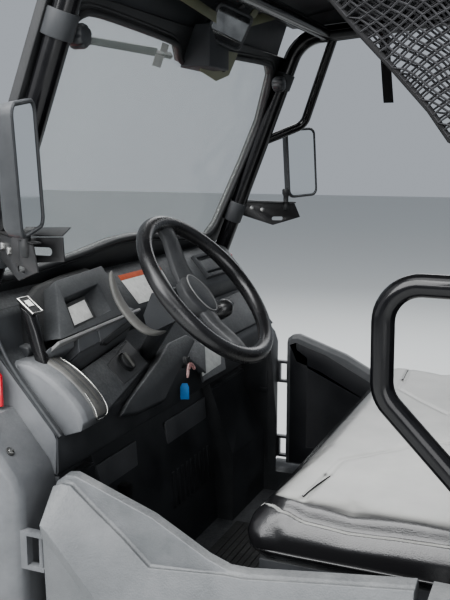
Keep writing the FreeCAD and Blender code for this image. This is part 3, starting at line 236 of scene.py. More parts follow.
# columns: key, name, dark, light, tone of settled dust and painted light on up-facing faces, share of that
# tone, span of roughness, grain's scale and depth
plastics = (
    ("dash", "dash plastic", (0.026, 0.028, 0.031), (0.052, 0.055, 0.059), (0.4, 0.41, 0.41), 0.6),
    ("pod", "pod plastic", (0.026, 0.028, 0.031), (0.048, 0.051, 0.055), (0.3, 0.31, 0.31), 0.3),
    # paler plastic; where it covers the stepped dash panels its lighter tone is painted light
    ("worn", "worn plastic", (0.09, 0.094, 0.1), (0.145, 0.15, 0.157), (0.4, 0.41, 0.41), 0.4,
     (0.4, 0.6), (700, 0.25)),
    ("door", "pebbled door plastic", (0.085, 0.09, 0.094), (0.135, 0.14, 0.146), (0.36, 0.36, 0.34), 0.35,
     (0.42, 0.6), (300, 0.55)),
    ("doorDark", "door side plastic", (0.016, 0.017, 0.02), (0.032, 0.034, 0.038), (0.2, 0.2, 0.2), 0.2,
     (0.4, 0.65), (500, 0.3)),
    ("body", "black body plastic", (0.026, 0.028, 0.031), (0.055, 0.058, 0.062), (0.34, 0.35, 0.36), 0.5,
     (0.38, 0.6), (700, 0.2)),
    ("under", "under tray plastic", (0.02, 0.022, 0.025), (0.042, 0.045, 0.05), (0.14, 0.14, 0.13), 0.4,
     (0.6, 0.8), (500, 0.3)),
    ("wheelRim", "steering wheel skin", (0.009, 0.009, 0.01), (0.02, 0.02, 0.021), (0.12, 0.12, 0.12), 0.12,
     (0.2, 0.34), (1300, 0.1)),
    ("wheelHub", "steering wheel hub", (0.028, 0.029, 0.031), (0.05, 0.052, 0.055), (0.3, 0.3, 0.3), 0.3,
     (0.42, 0.6), (900, 0.25)),
    ("seal", "rubber seal", (0.013, 0.014, 0.015), (0.035, 0.036, 0.038), (0.22, 0.22, 0.21), 0.4,
     (0.5, 0.7), (400, 0.2)),
    ("olive", "bracket paint", (0.1, 0.105, 0.065), (0.16, 0.165, 0.105), (0.3, 0.3, 0.22), 0.3,
     (0.45, 0.65), (500, 0.15)),
    # pale edge plastic; its pale tone on the pod's foot bar is a painted highlight
    ("trim", "worn plastic edge", (0.13, 0.13, 0.13), (0.24, 0.24, 0.24), (0.5, 0.5, 0.49), 0.4,
     (0.35, 0.5), (900, 0.15)),
    ("bracket", "paddle plastic", (0.07, 0.07, 0.068), (0.13, 0.128, 0.12), (0.3, 0.3, 0.28), 0.4,
     (0.4, 0.6), (800, 0.2)))
# columns: key, name, dark, light, roughness, coat, share of dust and painted light on up-facing faces,
# specular level
paints = (
    ("tube", "black tube paint", (0.004, 0.004, 0.005), (0.009, 0.009, 0.01), 0.16, 0.2, 0.04, 0.3),
    ("frame", "black frame paint", (0.01, 0.01, 0.011), (0.024, 0.024, 0.025), 0.42, 0.1, 0.2),
    ("rim", "wheel paint", (0.035, 0.036, 0.038), (0.07, 0.07, 0.072), 0.35, 0.3),
    ("red", "red body paint", (0.5, 0.008, 0.02), (0.6, 0.02, 0.035), 0.18, 1.0, 0.08))
# columns: key, name, dark, light, roughness, metallic
metals = (
    ("steel", "zinc steel", (0.3, 0.3, 0.3), (0.6, 0.6, 0.58), 0.28),
    ("chrome", "chrome trim", (0.55, 0.55, 0.53), (0.75, 0.74, 0.7), 0.1),
    ("cast", "cast metal", (0.1, 0.1, 0.1), (0.2, 0.2, 0.19), 0.5, 0.8))
# columns: key, name, colour, faded colour
papers = (
    ("white", "blank label", (0.72, 0.72, 0.7), (0.5, 0.5, 0.48)),
    ("orange", "label band", (0.62, 0.12, 0.045), (0.42, 0.1, 0.05)),
    ("pale", "blank plate", (0.36, 0.37, 0.36), (0.26, 0.27, 0.26)),
    ("blue", "key tag", (0.02, 0.2, 0.5), (0.015, 0.14, 0.4)),
    ("pink", "tag cord", (0.55, 0.25, 0.24), (0.7, 0.6, 0.58)))
finish = {
    "vinyl": seatVinyl(),
    "tyre": tyreRubber(),
    "glass": clearGlass(),
    "mirror": mirrorGlass(),
    "lamp": lampPlastic("headlamp lens", (0.62, 0.65, 0.66)),
    "tail": lampPlastic("tail lens", (0.45, 0.01, 0.012)),
    "net": cloth("net cord", (0.02, 0.02, 0.022), (0.055, 0.055, 0.059), 700),
    "strap": cloth("strap webbing", (0.006, 0.006, 0.007), (0.016, 0.016, 0.017), 900),
}
makers = ((mouldedPlastic, plastics), (glossPaint, paints), (bareMetal, metals), (labelPaper, papers))
for maker, rows in makers:
    for key, *values in rows:
        finish[key] = maker(*values)
print("finishes made")


# Ways of making shapes

def deselect():
    if bpy.context.object and bpy.context.object.mode != "OBJECT":
        bpy.ops.object.mode_set(mode="OBJECT")
    bpy.ops.object.select_all(action="DESELECT")


def take(piece):
    deselect()
    piece.select_set(True)
    bpy.context.view_layer.objects.active = piece
    return piece


def edit(piece, kind="FACE", test=None):
    take(piece)
    mesh = piece.data
    for group in (mesh.vertices, mesh.edges, mesh.polygons):
        for item in group:
            item.select = test is None
    if test:
        if kind == "FACE":
            for face in mesh.polygons:
                face.select = test(face.center, face.normal)
        else:
            for edge in mesh.edges:
                ends = [mesh.vertices[i].co for i in edge.vertices]
                edge.select = test(*ends)
    bpy.ops.object.mode_set(mode="EDIT")
    bpy.ops.mesh.select_mode(type=kind)


def leave():
    bpy.ops.object.mode_set(mode="OBJECT")


def fixPlace(piece):
    take(piece)
    bpy.ops.object.transform_apply(location=True, rotation=True, scale=True)
    return piece


def soften(piece, width=0.002, segments=2, angle=35):
    take(piece)
    if width:
        bevel = piece.modifiers.new("edges", "BEVEL")
        bevel.width = width
        bevel.segments = segments
        bevel.limit_method = "ANGLE"
        bevel.angle_limit = math.radians(angle)
        bevel.harden_normals = False
        bpy.ops.object.modifier_apply(modifier="edges")
    bpy.ops.object.shade_smooth_by_angle(angle=math.radians(40))
    return piece


def round2(piece, levels=2):
    take(piece)
    modifier = piece.modifiers.new("round", "SUBSURF")
    modifier.levels = levels
    modifier.render_levels = levels
    bpy.ops.object.modifier_apply(modifier="round")
    bpy.ops.object.shade_smooth()
    return piece


def block(name, low, high):
    deselect()
    low, high = Vector(low), Vector(high)
    bpy.ops.mesh.primitive_cube_add(size=1, location=(low + high) / 2)
    piece = bpy.context.object
    piece.name = name
    piece.scale = high - low
    return fixPlace(piece)


def slab(name, corners, depth):
    deselect()
    bpy.ops.mesh.primitive_circle_add(vertices=len(corners), radius=1, fill_type="NGON")
    piece = bpy.context.object
    piece.name = name
    for vertex, corner in zip(piece.data.vertices, corners):
        vertex.co = corner
    edit(piece)
    bpy.ops.mesh.extrude_region_move(TRANSFORM_OT_translate={"value": Vector(depth)})
    bpy.ops.mesh.select_all(action="SELECT")
    bpy.ops.mesh.normals_make_consistent(inside=False)
    leave()
    return piece


def loft(name, sections):
    deselect()
    count = len(sections[0])
    bpy.ops.mesh.primitive_circle_add(vertices=count, radius=1, fill_type="NGON")
    piece = bpy.context.object
    piece.name = name
    places = {}
    for i, vertex in enumerate(piece.data.vertices):
        vertex.co = Vector(sections[0][i])
        places[i] = i
    edit(piece)
    for section in sections[1:]:
        old = {i: piece.data.vertices[i].co.copy() for i in places.values()}
        bpy.ops.mesh.extrude_region_move(TRANSFORM_OT_translate={"value": (0, 0, 0)})
        leave()
        fresh = [v for v in piece.data.vertices if v.select]
        placed = {}
        for corner, index in places.items():
            spot = old[index]
            nearest = min((v for v in fresh if v.index not in placed.values()),
                          key=lambda v: (v.co - spot).length)
            placed[corner] = nearest.index
        for corner, index in placed.items():
            piece.data.vertices[index].co = Vector(section[corner])
        places = placed
        bpy.ops.object.mode_set(mode="EDIT")
    bpy.ops.mesh.select_all(action="SELECT")
    bpy.ops.mesh.normals_make_consistent(inside=False)
    leave()
    return piece


def rod(name, start, end, radius, sides=24):
    deselect()
    start, end = Vector(start), Vector(end)
    run = end - start
    bpy.ops.mesh.primitive_cylinder_add(vertices=sides, radius=radius, depth=run.length,
                                        location=(start + end) / 2)
    piece = bpy.context.object
    piece.name = name
    piece.rotation_euler = run.to_track_quat("Z", "Y").to_euler()
    return fixPlace(piece)


def ball(name, centre, size, tilt=0):
    deselect()
    bpy.ops.mesh.primitive_uv_sphere_add(segments=32, ring_count=16, radius=1)
    piece = bpy.context.object
    piece.name = name
    piece.scale = size
    piece.rotation_euler = (0, tilt, 0)
    piece.location = centre
    fixPlace(piece)
    bpy.ops.object.shade_smooth()
    return piece


def wirePath(name, points, radius, closed=False, smooth=True, sides=3):
    deselect()
    bpy.ops.curve.primitive_nurbs_path_add(radius=1)
    piece = bpy.context.object
    piece.name = name
    curve = piece.data
    curve.splines.clear()
    line = curve.splines.new("NURBS" if smooth else "POLY")
    line.points.add(len(points) - 1)
    for spot, point in zip(line.points, points):
        spot.co = (*point, 1)
    if smooth:
        line.order_u = 3
        line.use_endpoint_u = not closed
        line.resolution_u = 8
    line.use_cyclic_u = closed
    curve.bevel_depth = radius
    curve.bevel_resolution = sides
    curve.use_fill_caps = not closed
    bpy.ops.object.convert(target="MESH")
    piece = bpy.context.object
    bpy.ops.object.shade_smooth_by_angle(angle=math.radians(50))
    return piece


def join(name, pieces):
    deselect()
    for piece in pieces:
        piece.select_set(True)
    bpy.context.view_layer.objects.active = pieces[0]
    bpy.ops.object.join()
    piece = bpy.context.object
    piece.name = name
    return piece


def dress(piece, look, slot="body_black", body="vehicle", stands=()):
    piece.data.materials.clear()
    piece.data.materials.append(finish[look])
    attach(piece, body)
    if stands:
        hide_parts(*stands)
    return piece


def circle(count):
    turns = [step / count * math.tau for step in range(count)]
    return [(math.cos(turn), math.sin(turn)) for turn in turns]


def move(point, along, distance):
    return Vector(point) + Vector(along).normalized() * distance


# Camera, light and floor

camera = {"place": (-0.368, 1.955, 1.475), "ahead": (0.3828, -0.9084, -0.1687), "lens": 50.16}
light = {"key": 400, "side": 45, "top": 330, "fill": 60, "rim": 110, "sky": 0.4}


def makeStage():
    deselect()
    bpy.ops.object.camera_add(location=camera["place"])
    eye = bpy.context.object
    eye.rotation_euler = Vector(camera["ahead"]).to_track_quat("-Z", "Y").to_euler()
    eye.data.lens = camera["lens"]
    eye.data.clip_start = 0.02
    bpy.context.scene.camera = eye
    world = bpy.data.worlds.new("studio")
    world.use_nodes = True
    world.node_tree.nodes["Background"].inputs[0].default_value = (0.86, 0.92, 1.0, 1)
    world.node_tree.nodes["Background"].inputs[1].default_value = light["sky"]
    bpy.context.scene.world = world
    bpy.context.scene.view_settings.look = "AgX - Medium High Contrast"
    # columns: name, power, size, place, what it points at
    rows = (("key", light["key"], 4.0, (1.6, 4.2, 4.2), (0.2, 0.2, 0.9)),
            ("side", light["side"], 2.0, (-1.7, 3.4, 1.6), (0.5, 0.0, 0.6)),
            ("top", light["top"], 6.0, (-0.6, 1.2, 6.0), (0.1, 0.1, 0.9)),
            ("fill", light["fill"], 5.0, (4.5, 2.5, 3.0), (0.2, 0.2, 0.9)),
            ("rim", light["rim"], 4.0, (1.0, -4.5, 4.2), (0.2, 0.0, 0.9)))
    for name, power, size, place, aim in rows:
        bpy.ops.object.light_add(type="AREA", location=place)
        lamp = bpy.context.object
        lamp.name = name
        lamp.data.energy = power
        lamp.data.size = size
        lamp.rotation_euler = (Vector(aim) - Vector(place)).to_track_quat("-Z", "Y").to_euler()
    bpy.ops.mesh.primitive_plane_add(size=60)
    floor = bpy.context.object
    floor.name = "studio_floor"
    paint = Paint("studio floor")
    paint.set(Base_Color=(0.62, 0.63, 0.62), Roughness=paint.cloud(3, 3) * 0.1 + 0.7)
    floor.data.materials.append(paint.material)


makeStage()
print("camera and light set")


# Pieces whose CAD shape stays: a merged copy with softened edges

wheelCorners = ("front_left", "front_right", "rear_left", "rear_right")
# columns: finish, slot, edge width, nodes
kept = (
    ("frame", "frame_black", 0.002, ("chassis_frame", "upper_frame", "pedals")),
    ("frame", "frame_black", 0, ("front_control_arms", "rear_control_arms", "shocks")),
    ("tube", "frame_black", 0, ("roll_cage", "hip_bars", "front_bumper")),
    ("under", "body_black", 0.0015, ("skid_plate",)),
    ("under", "body_black", 0.002, ("seat_base",)),
    ("under", "body_black", 0.003, ("wiper_motor",)),
    ("under", "body_black", 0.004, ("roof_panel",)),
    ("body", "body_black", 0.0015, ("floor_pan",)),
    ("body", "body_black", 0.002, ("front_fascia",)),
    ("body", "body_black", 0.003, ("cargo_bed", "tailgate")),
    ("pod", "body_black", 0.0015, ("steering_column",)),
    ("worn", "body_black", 0.012, ("front_fenders",)),
    ("door", "body_black", 0.004, ("rear_quarters",)),
    ("red", "body_red", 0.003, ("hood",)),
    ("cast", "cast_metal", 0.006, ("engine_block",)),
    ("cast", "cast_metal", 0.003, ("differentials",)),
    ("cast", "cast_metal", 0.002, ("knuckle_left", "knuckle_right", "rear_hub_carriers")),
    ("steel", "bare_steel", 0, ("half_shafts", "tie_rods")),
    ("rim", "rim_steel", 0.0015, ["rim_" + corner for corner in wheelCorners]),
    ("tyre", "tyre_rubber", 0.002, ["tyre_" + corner for corner in wheelCorners]),
    ("seal", "soft_rubber", 0.002, ("windshield_frame",)),
    ("seal", "soft_rubber", 0.001, ("bed_pads",)),
    ("glass", "screen_glass", 0, ("windshield",)),
    ("lamp", "lamp_lens", 0, ("headlamps",)),
    ("tail", "tail_lens", 0.002, ("tail_lamps",)))


merge = {"doubles": 0.00002, "flat": 0.8}  # metres between doubled points, degrees between flat faces


def keepShape(node, look, slot, width):
    take(frame["nodes"][node])
    bpy.ops.object.duplicate()
    piece = bpy.context.object
    piece.name = "made_" + node
    for mark in [key for key in piece.keys() if key.startswith("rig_")]:
        del piece[mark]
    piece.parent = None
    piece.matrix_world = Matrix.Identity(4)
    edit(piece)
    bpy.ops.mesh.remove_doubles(threshold=merge["doubles"])
    bpy.ops.mesh.dissolve_limited(angle_limit=math.radians(merge["flat"]))
    leave()
    soften(piece, width)
    return dress(piece, look, slot, nodeBody[node], [node])


for look, slot, width, nodes in kept:
    for node in nodes:
        keepShape(node, look, slot, width)
print("carried pieces dressed")


# Steering wheel, made flat round the origin and then set on its column

steering = {"centre": (0.322, 0.411, 1.211), "tilt": 41.4, "rim": 0.169, "grip": 0.0165, "hub": 0.052,
            "reach": 0.163, "swell": 0.05, "cap": (0.046, 0.03, 0.006), "capHeight": -0.0165}


def setOnColumn(piece):
    tilt = math.radians(90 - steering["tilt"])
    turn = Matrix.Translation(steering["centre"]) @ Matrix.Rotation(-tilt, 4, "Y")
    piece.matrix_world = turn
    return fixPlace(piece)


def wheelSpoke(angle, width):
    # columns: distance from the middle, share of the width, height of the spoke's back and front
    rows = ((0.03, 1.25, -0.038, -0.022), (0.075, 0.98, -0.034, -0.016), (0.13, 0.85, -0.016, 0.001),
            (steering["reach"], 1.1, -0.006, 0.005))
    sections = []
    for reach, share, back, front in rows:
        half = width * share
        # half of the section, from its back corner to the crown
        side = [(half, back), (half, front - 0.005), (half * 0.35, front + 0.003)]
        sections.append([(reach, -y, z) for y, z in side] + [(reach, y, z) for y, z in side[::-1]])
    piece = loft("spoke", sections)
    piece.rotation_euler = (0, 0, math.radians(angle))
    fixPlace(piece)
    return soften(piece, 0.003, 3)


def steeringWheel():
    deselect()
    bpy.ops.mesh.primitive_torus_add(major_radius=steering["rim"], minor_radius=steering["grip"],
                                     major_segments=112, minor_segments=24)
    rim = bpy.context.object
    rim.name = "steering_rim"
    # finger swells round the grip
    for vertex in rim.data.vertices:
        turn = math.atan2(vertex.co.y, vertex.co.x)
        vertex.co.z *= 1 + steering["swell"] * math.cos(4 * turn)
    bpy.ops.object.shade_smooth()
    dress(setOnColumn(rim), "wheelRim", "wheel_polymer", "steering_wheel", ["steering_wheel"])
    spokes = [wheelSpoke(-8, 0.03), wheelSpoke(162, 0.021)]
    hub = rod("hub", (0, 0, -0.04), (0, 0, -0.022), steering["hub"], 48)
    edit(hub, "FACE", lambda c, n: n.z > 0.9)
    bpy.ops.mesh.inset(thickness=0.01, depth=0.005)
    bpy.ops.mesh.inset(thickness=0.012, depth=0.001)
    leave()
    soften(hub, 0.003, 3)
    web = join("steering_spokes", spokes + [hub])
    dress(setOnColumn(web), "wheelHub", "wheel_polymer", "steering_wheel")
    cap = ball("steering_cap", (0, 0, steering["capHeight"]), steering["cap"])
    dress(setOnColumn(cap), "pod", "wheel_polymer", "steering_wheel")
    across, along = [half + 0.0005 for half in steering["cap"][:2]]
    edge = [(across * x, along * y, steering["capHeight"] + 0.0005) for x, y in circle(16)]
    band = wirePath("steering_cap_edge", edge, 0.0016, closed=True)
    dress(setOnColumn(band), "trim", "wheel_polymer", "steering_wheel")


steeringWheel()
print("steering wheel made")


# Dash: a place on a sloping face is given as y, distance up the slope and distance out of it

dashFace = {"foot": (0.553, 0.93), "slope": math.degrees(math.atan2(0.152, 0.133))}
podFace = {"foot": (0.59, 1.095), "slope": 50}


def onFace(face, y, up, out):
    turn = math.radians(face["slope"])
    along = Vector((math.cos(turn), 0, math.sin(turn)))
    return Vector((face["foot"][0], y, face["foot"][1])) + along * up + Vector((-along.z, 0, along.x)) * out


def onSlope(y, up, out=0.0):
    return onFace(dashFace, y, up, out)


def onPod(y, up, out=0.0):
    return onFace(podFace, y, up, out)


def raised(name, outline, low, high, look="dash", draft=0.006, width=0.004, place=onSlope):
    middle = sum((Vector(spot) for spot in outline), Vector((0, 0))) / len(outline)
    rings = []
    for out, grow in ((low, draft), (high, 0.0)):
        spread = [Vector(spot) + (Vector(spot) - middle).normalized() * grow for spot in outline]
        rings.append([place(spot.x, spot.y, out) for spot in spread])
    return dress(soften(loft(name, rings), width, 3), look)


def stepped(name, corners, look="dash", low=-0.003, width=0.003):
    # columns of corners: y, distance up the slope, how far it stands out
    rings = [[onSlope(y, up, low) for y, up, out in corners],
             [onSlope(y, up, out) for y, up, out in corners]]
    return dress(soften(loft(name, rings), width, 3), look)


dash = {"half": 0.624, "thick": 0.005, "deckHalf": 0.6, "deckWide": 0.815}


def dashShell():
    # columns: x, z along the shell from its lower lip to the cowl
    line = [(0.59, 0.846), (0.556, 0.848), (0.5525, 0.856), (0.5515, 0.922), (0.556, 0.934), (0.681, 1.076),
            (0.688, 1.088), (0.699, 1.15), (0.706, 1.163), (0.752, 1.188)]
    inner = [(x + dash["thick"], z - (0 if 0 < i < 8 else -0.004)) for i, (x, z) in enumerate(line)]
    corners = [(x, -dash["half"], z) for x, z in line + inner[::-1]]
    shell = slab("dash_shell", corners, (0, 2 * dash["half"], 0))
    dress(soften(shell, 0.0015), "dash", stands=["dash_panel"])
    for side in (-1, 1):
        y = side * (dash["half"] - 0.004)
        rim = [(0.56, y, 0.85), (0.5545, y, 0.93), (0.688, y, 1.083), (0.702, y, 1.16), (0.754, y, 1.187),
               (0.762, y, 1.0), (0.694, y, 0.85)]
        cheek = slab("dash_cheek", rim, (0, side * 0.004, 0))
        dress(soften(cheek, 0.001), "worn")
        bead = wirePath("dash_bead", [onSlope(y, -0.004, 0.003), onSlope(y, 0.03, 0.003),
                                      onSlope(y, 0.19, 0.004), (0.699, y, 1.15), (0.752, y, 1.19)], 0.0045)
        dress(bead, "pod")


def dashBlocks():
    # upper deck that the label sits on, from the pod to the far end
    profile = [onSlope(0, 0.15), onSlope(0, 0.172, 0.04), onSlope(0, 0.184, 0.048), onSlope(0, 0.288, 0.05),
               Vector((0.742, 0, 1.192)), Vector((0.752, 0, 1.184)), Vector((0.7, 0, 1.09))]
    corners = [(spot.x, -dash["deckHalf"], spot.z) for spot in profile]
    deck = slab("dash_deck", corners, (0, dash["deckWide"], 0))
    dress(soften(deck, 0.005, 3), "dash")
    raised("knob_block", [(0.482, 0.095), (0.228, 0.127), (0.213, 0.047), (0.486, -0.012)], -0.002, 0.025)
    stepped("column_block", [(0.4205, -0.028, 0.015), (0.3797, -0.01, 0.028), (0.2017, 0.0416, 0.05),
                             (0.1354, 0.0666, 0.06), (0.0676, 0.0625, 0.08), (0.0454, 0.0378, 0.08),
                             (0.1086, 0.0087, 0.06), (0.243, -0.0481, 0.02), (0.356, -0.0424, 0.014)],
            "dash", -0.003, 0.005)
    raised("knob_plate", [(0.232, 0.121), (0.22, 0.048), (0.359, 0.029), (0.366, 0.086)], 0.024, 0.0268,
           "wheelHub", 0.001, 0.001)


def dashPanels():
    # the stepped panels and the ledge face are given the paler plastic as painted light: a lighter grey
    # that offsets the shade falling under the pod's ledge
    stepped("panel_near", [(0.469, 0.143, 0.066), (0.457, 0.1625, 0.072), (0.439, 0.1687, 0.076),
                           (0.3815, 0.17, 0.078), (0.3865, 0.132, 0.06), (0.473, 0.127, 0.058)], "worn")
    stepped("panel_far", [(0.379, 0.17, 0.079), (0.244, 0.1755, 0.08), (0.222, 0.1464, 0.06),
                          (0.3835, 0.132, 0.061)], "worn")
    stepped("panel_foot", [(0.473, 0.126, 0.057), (0.3853, 0.131, 0.059), (0.2244, 0.1455, 0.059),
                           (0.211, 0.133, 0.016), (0.4321, 0.106, 0.016), (0.4705, 0.122, 0.036)], "worn")
    stepped("switch_blank", [(0.3781, 0.134, 0.0645), (0.3818, 0.1271, 0.0625), (0.3633, 0.1215, 0.059),
                             (0.2305, 0.1414, 0.062), (0.2296, 0.1555, 0.07)], "seal", 0.05)
    stepped("ledge_face", [(0.56, 0.158, 0.064), (0.472, 0.163, 0.072), (0.482, 0.141, 0.062),
                           (0.545, 0.146, 0.05)], "worn")
    stepped("pocket_floor", [(0.51, 0.15, 0.01), (0.41, 0.158, 0.01), (0.4265, 0.13, 0.009),
                             (0.425, 0.108, 0.007), (0.4593, 0.102, 0.007), (0.5195, 0.14, 0.009)], "seal")
    # pale strip along the pod's foot: a painted highlight on the lip of the ledge
    bar = [(0.552, 0.009), (0.19, 0.021), (0.19, 0.014), (0.552, 0.002)]
    raised("pod_foot_bar", bar, -0.03, 0.0035, "trim", 0.0, 0.0015, onPod)


def gloveBox():
    raised("side_panel", [(-0.05, 0.078), (-0.105, 0.026), (-0.016, -0.04), (0.014, 0.02)], -0.002, 0.014,
           "dash", 0.004, 0.003)
    raised("plate_seat", [(-0.1, 0.06), (-0.2, -0.004), (-0.135, -0.058), (0.01, -0.056)], -0.002, 0.008,
           "dash", 0.004, 0.002)
    raised("blank_plate", [(-0.11, 0.0457), (-0.1795, -0.0034), (-0.1256, -0.0383), (0.0016, -0.0422)],
           0.006, 0.0092, "pale", 0.0, 0.0004)
    raised("glove_lid", [(-0.3, 0.14), (-0.575, 0.14), (-0.575, 0.02), (-0.3, 0.02)], -0.002, 0.009, "dash",
           0.004, 0.004)
    raised("glove_catch", [(-0.42, 0.128), (-0.455, 0.128), (-0.455, 0.108), (-0.42, 0.108)], 0.006, 0.013,
           "pod", 0.002, 0.002)
    # frame of the pocket; columns: name, y from, y to, up from, up to
    rows = (("pocket_near", -0.315, -0.325, 0.205, 0.28), ("pocket_far", -0.47, -0.46, 0.205, 0.28),
            ("pocket_top", -0.315, -0.47, 0.272, 0.283), ("pocket_foot", -0.315, -0.47, 0.2, 0.211))
    for name, y0, y1, up0, up1 in rows:
        raised(name, [(y0, up0), (y1, up0), (y1, up1), (y0, up1)], 0.046, 0.062, "pod", 0.001, 0.002)
    raised("pocket_cap", [(-0.335, 0.22), (-0.45, 0.22), (-0.44, 0.262), (-0.345, 0.262)], 0.046, 0.056,
           "dash", 0.004, 0.004)


def dashLabel():
    raised("warning_label", [(0.118, 0.193), (-0.085, 0.19), (-0.105, 0.268), (0.118, 0.268)], 0.0495,
           0.0508, "white", 0.0, 0.0003)
    raised("label_band", [(0.118, 0.2685), (-0.105, 0.2685), (-0.107, 0.284), (0.118, 0.284)], 0.0495,
           0.051, "orange", 0.0, 0.0003)


knob = {"place": (0.297, 0.073), "collar": 0.0245, "radius": 0.0212}


def dashKnob():
    spot, out = onSlope(*knob["place"]), onSlope(0, 0, 1) - onSlope(0, 0)
    # columns: name, where it starts and ends, radius, width and depth of the step in its face, edge
    rows = (("knob_collar", 0.0255, 0.031, knob["collar"], 0.003, -0.003, 0.0008),
            ("knob", 0.028, 0.037, knob["radius"], 0.002, 0.001, 0.0012))
    for name, low, high, radius, inset, depth, width in rows:
        piece = rod(name, spot + out * low, spot + out * high, radius, 48)
        edit(piece, "FACE", lambda c, n: n.dot(out) > 0.9)
        bpy.ops.mesh.inset(thickness=inset, depth=depth)
        leave()
        dress(soften(piece, width), "seal")
    bar = [(0.301, 0.092), (0.2945, 0.092), (0.2945, 0.054), (0.301, 0.054)]
    raised("knob_bar", bar, 0.036, 0.0425, "bracket", 0.002, 0.0015)


# Instrument pod: its face, recess and screen, the casing behind it and the ledge below

def instrumentPod():
    # columns: y, distance up the face; left foot, right foot, right top, left top
    face = [(0.535, 0.012), (0.222, 0.022), (0.212, 0.158), (0.42, 0.146)]
    recess = [(0.47, 0.026), (0.3, 0.04), (0.28, 0.112), (0.436, 0.098)]
    floor = [(0.462, 0.028), (0.335, 0.036), (0.318, 0.104), (0.428, 0.096)]
    back = [(0.539, 0.03), (0.205, 0.03), (0.2, 0.15), (0.43, 0.145)]
    rings = [[onPod(y, up, -0.085) for y, up in back], [onPod(y, up, -0.03) for y, up in back],
             [onPod(y, up, 0.0) for y, up in face], [onPod(y, up, 0.0005) for y, up in recess],
             [onPod(y, up, -0.026) for y, up in floor]]
    pod = loft("instrument_pod", rings)
    dress(soften(pod, 0.005, 3, 20), "pod")
    raised("screen_case", [(0.452, 0.03), (0.345, 0.037), (0.33, 0.101), (0.424, 0.092)], -0.03, -0.017,
           "seal", 0.0, 0.003, onPod)
    raised("screen_glass", [(0.437, 0.038), (0.356, 0.043), (0.343, 0.09), (0.417, 0.083)], -0.018, -0.0162,
           "white", 0.0, 0.0005, onPod)
    # black casing that rises behind the face
    arc = [(0.538, 0.03), (0.54, 0.075), (0.53, 0.11), (0.5, 0.142), (0.44, 0.166), (0.33, 0.178),
           (0.215, 0.184), (0.195, 0.17), (0.195, 0.03)]
    # columns: share and shift across, share of the height, distance out of the face
    rows = ((0.98, 0.008, 0.96, -0.09), (1, 0, 1, -0.042), (0.97, 0.012, 0.94, -0.034))
    rings = [[onPod(y * wide + shift, up * tall, out) for y, up in arc] for wide, shift, tall, out in rows]
    dress(soften(loft("pod_casing", rings), 0.004, 3), "seal")
    # ledge under the face, a bar with a rounded front
    sections = []
    for y, x, z in ((0.556, 0.662, 1.082), (0.5, 0.652, 1.088), (0.36, 0.63, 1.1), (0.205, 0.603, 1.112)):
        sections.append([(x + 0.01, y, z - 0.026), (x, y, z - 0.008), (x + 0.003, y, z + 0.001),
                         (x + 0.022, y, z + 0.006), (0.69, y, z + 0.004), (0.69, y, 1.062)])
    dress(soften(loft("pod_ledge", sections), 0.003, 3), "dash")


# Gear selector: quadrant with a trimmed slot and the lever

selectorY = 0.56


def selectorArc(grow=0.0):
    centre = Vector((0.56, 0, 0.935))
    # columns: x, z of the quadrant's top from its front end to its lower end
    rows = ((0.668, 1.064), (0.64, 1.064), (0.61, 1.055), (0.58, 1.04), (0.552, 1.019), (0.53, 0.998),
            (0.512, 0.976), (0.505, 0.956))
    spots = []
    for x, z in rows:
        spot = Vector((x, 0, z))
        spots.append(spot + (spot - centre).normalized() * grow)
    return spots


def selectorHousing():
    rings = []
    # columns: y, distance outside the arc
    for y, grow in ((0.512, -0.012), (0.52, -0.002), (0.532, 0.002), (0.588, 0.002), (0.598, -0.004),
                    (0.602, -0.016)):
        top = [(spot.x, y, spot.z) for spot in selectorArc(grow)]
        rings.append(top + [(0.512, y, 0.938), (0.55, y, 0.924), (0.68, y, 1.062)])
    housing = loft("selector_housing", rings)
    dress(soften(housing, 0.004, 3, 25), "worn", stands=["gear_selector"])


def selectorGate():
    rings = []
    # columns: y, distance outside the arc
    for y, grow in ((0.517, 0.001), (0.519, 0.006), (0.525, 0.009), (0.552, 0.009), (0.56, 0.006),
                    (0.563, 0.001)):
        top = [(spot.x, y, spot.z) for spot in selectorArc(grow)[1:]]
        low = [(spot.x, y, spot.z) for spot in selectorArc(-0.004)[1:]]
        rings.append(top + low[::-1])
    dress(soften(loft("selector_gate", rings), 0.0015), "bracket")
    for y in (0.5305, 0.5475):
        line = [(spot.x, y, spot.z) for spot in selectorArc(0.0095)[1:-1]]
        dress(wirePath("gate_slot", line, 0.0022), "seal")
    # bright line down the outer edge and round the lower end
    line = [(spot.x, 0.5185, spot.z) for spot in selectorArc(0.0075)[2:]]
    line += [(0.503, 0.526, 0.949), (0.503, 0.556, 0.949)]
    line += [(spot.x, 0.561, spot.z) for spot in selectorArc(0.007)[:4:-1]]
    dress(wirePath("gate_trim", line, 0.0018), "chrome")


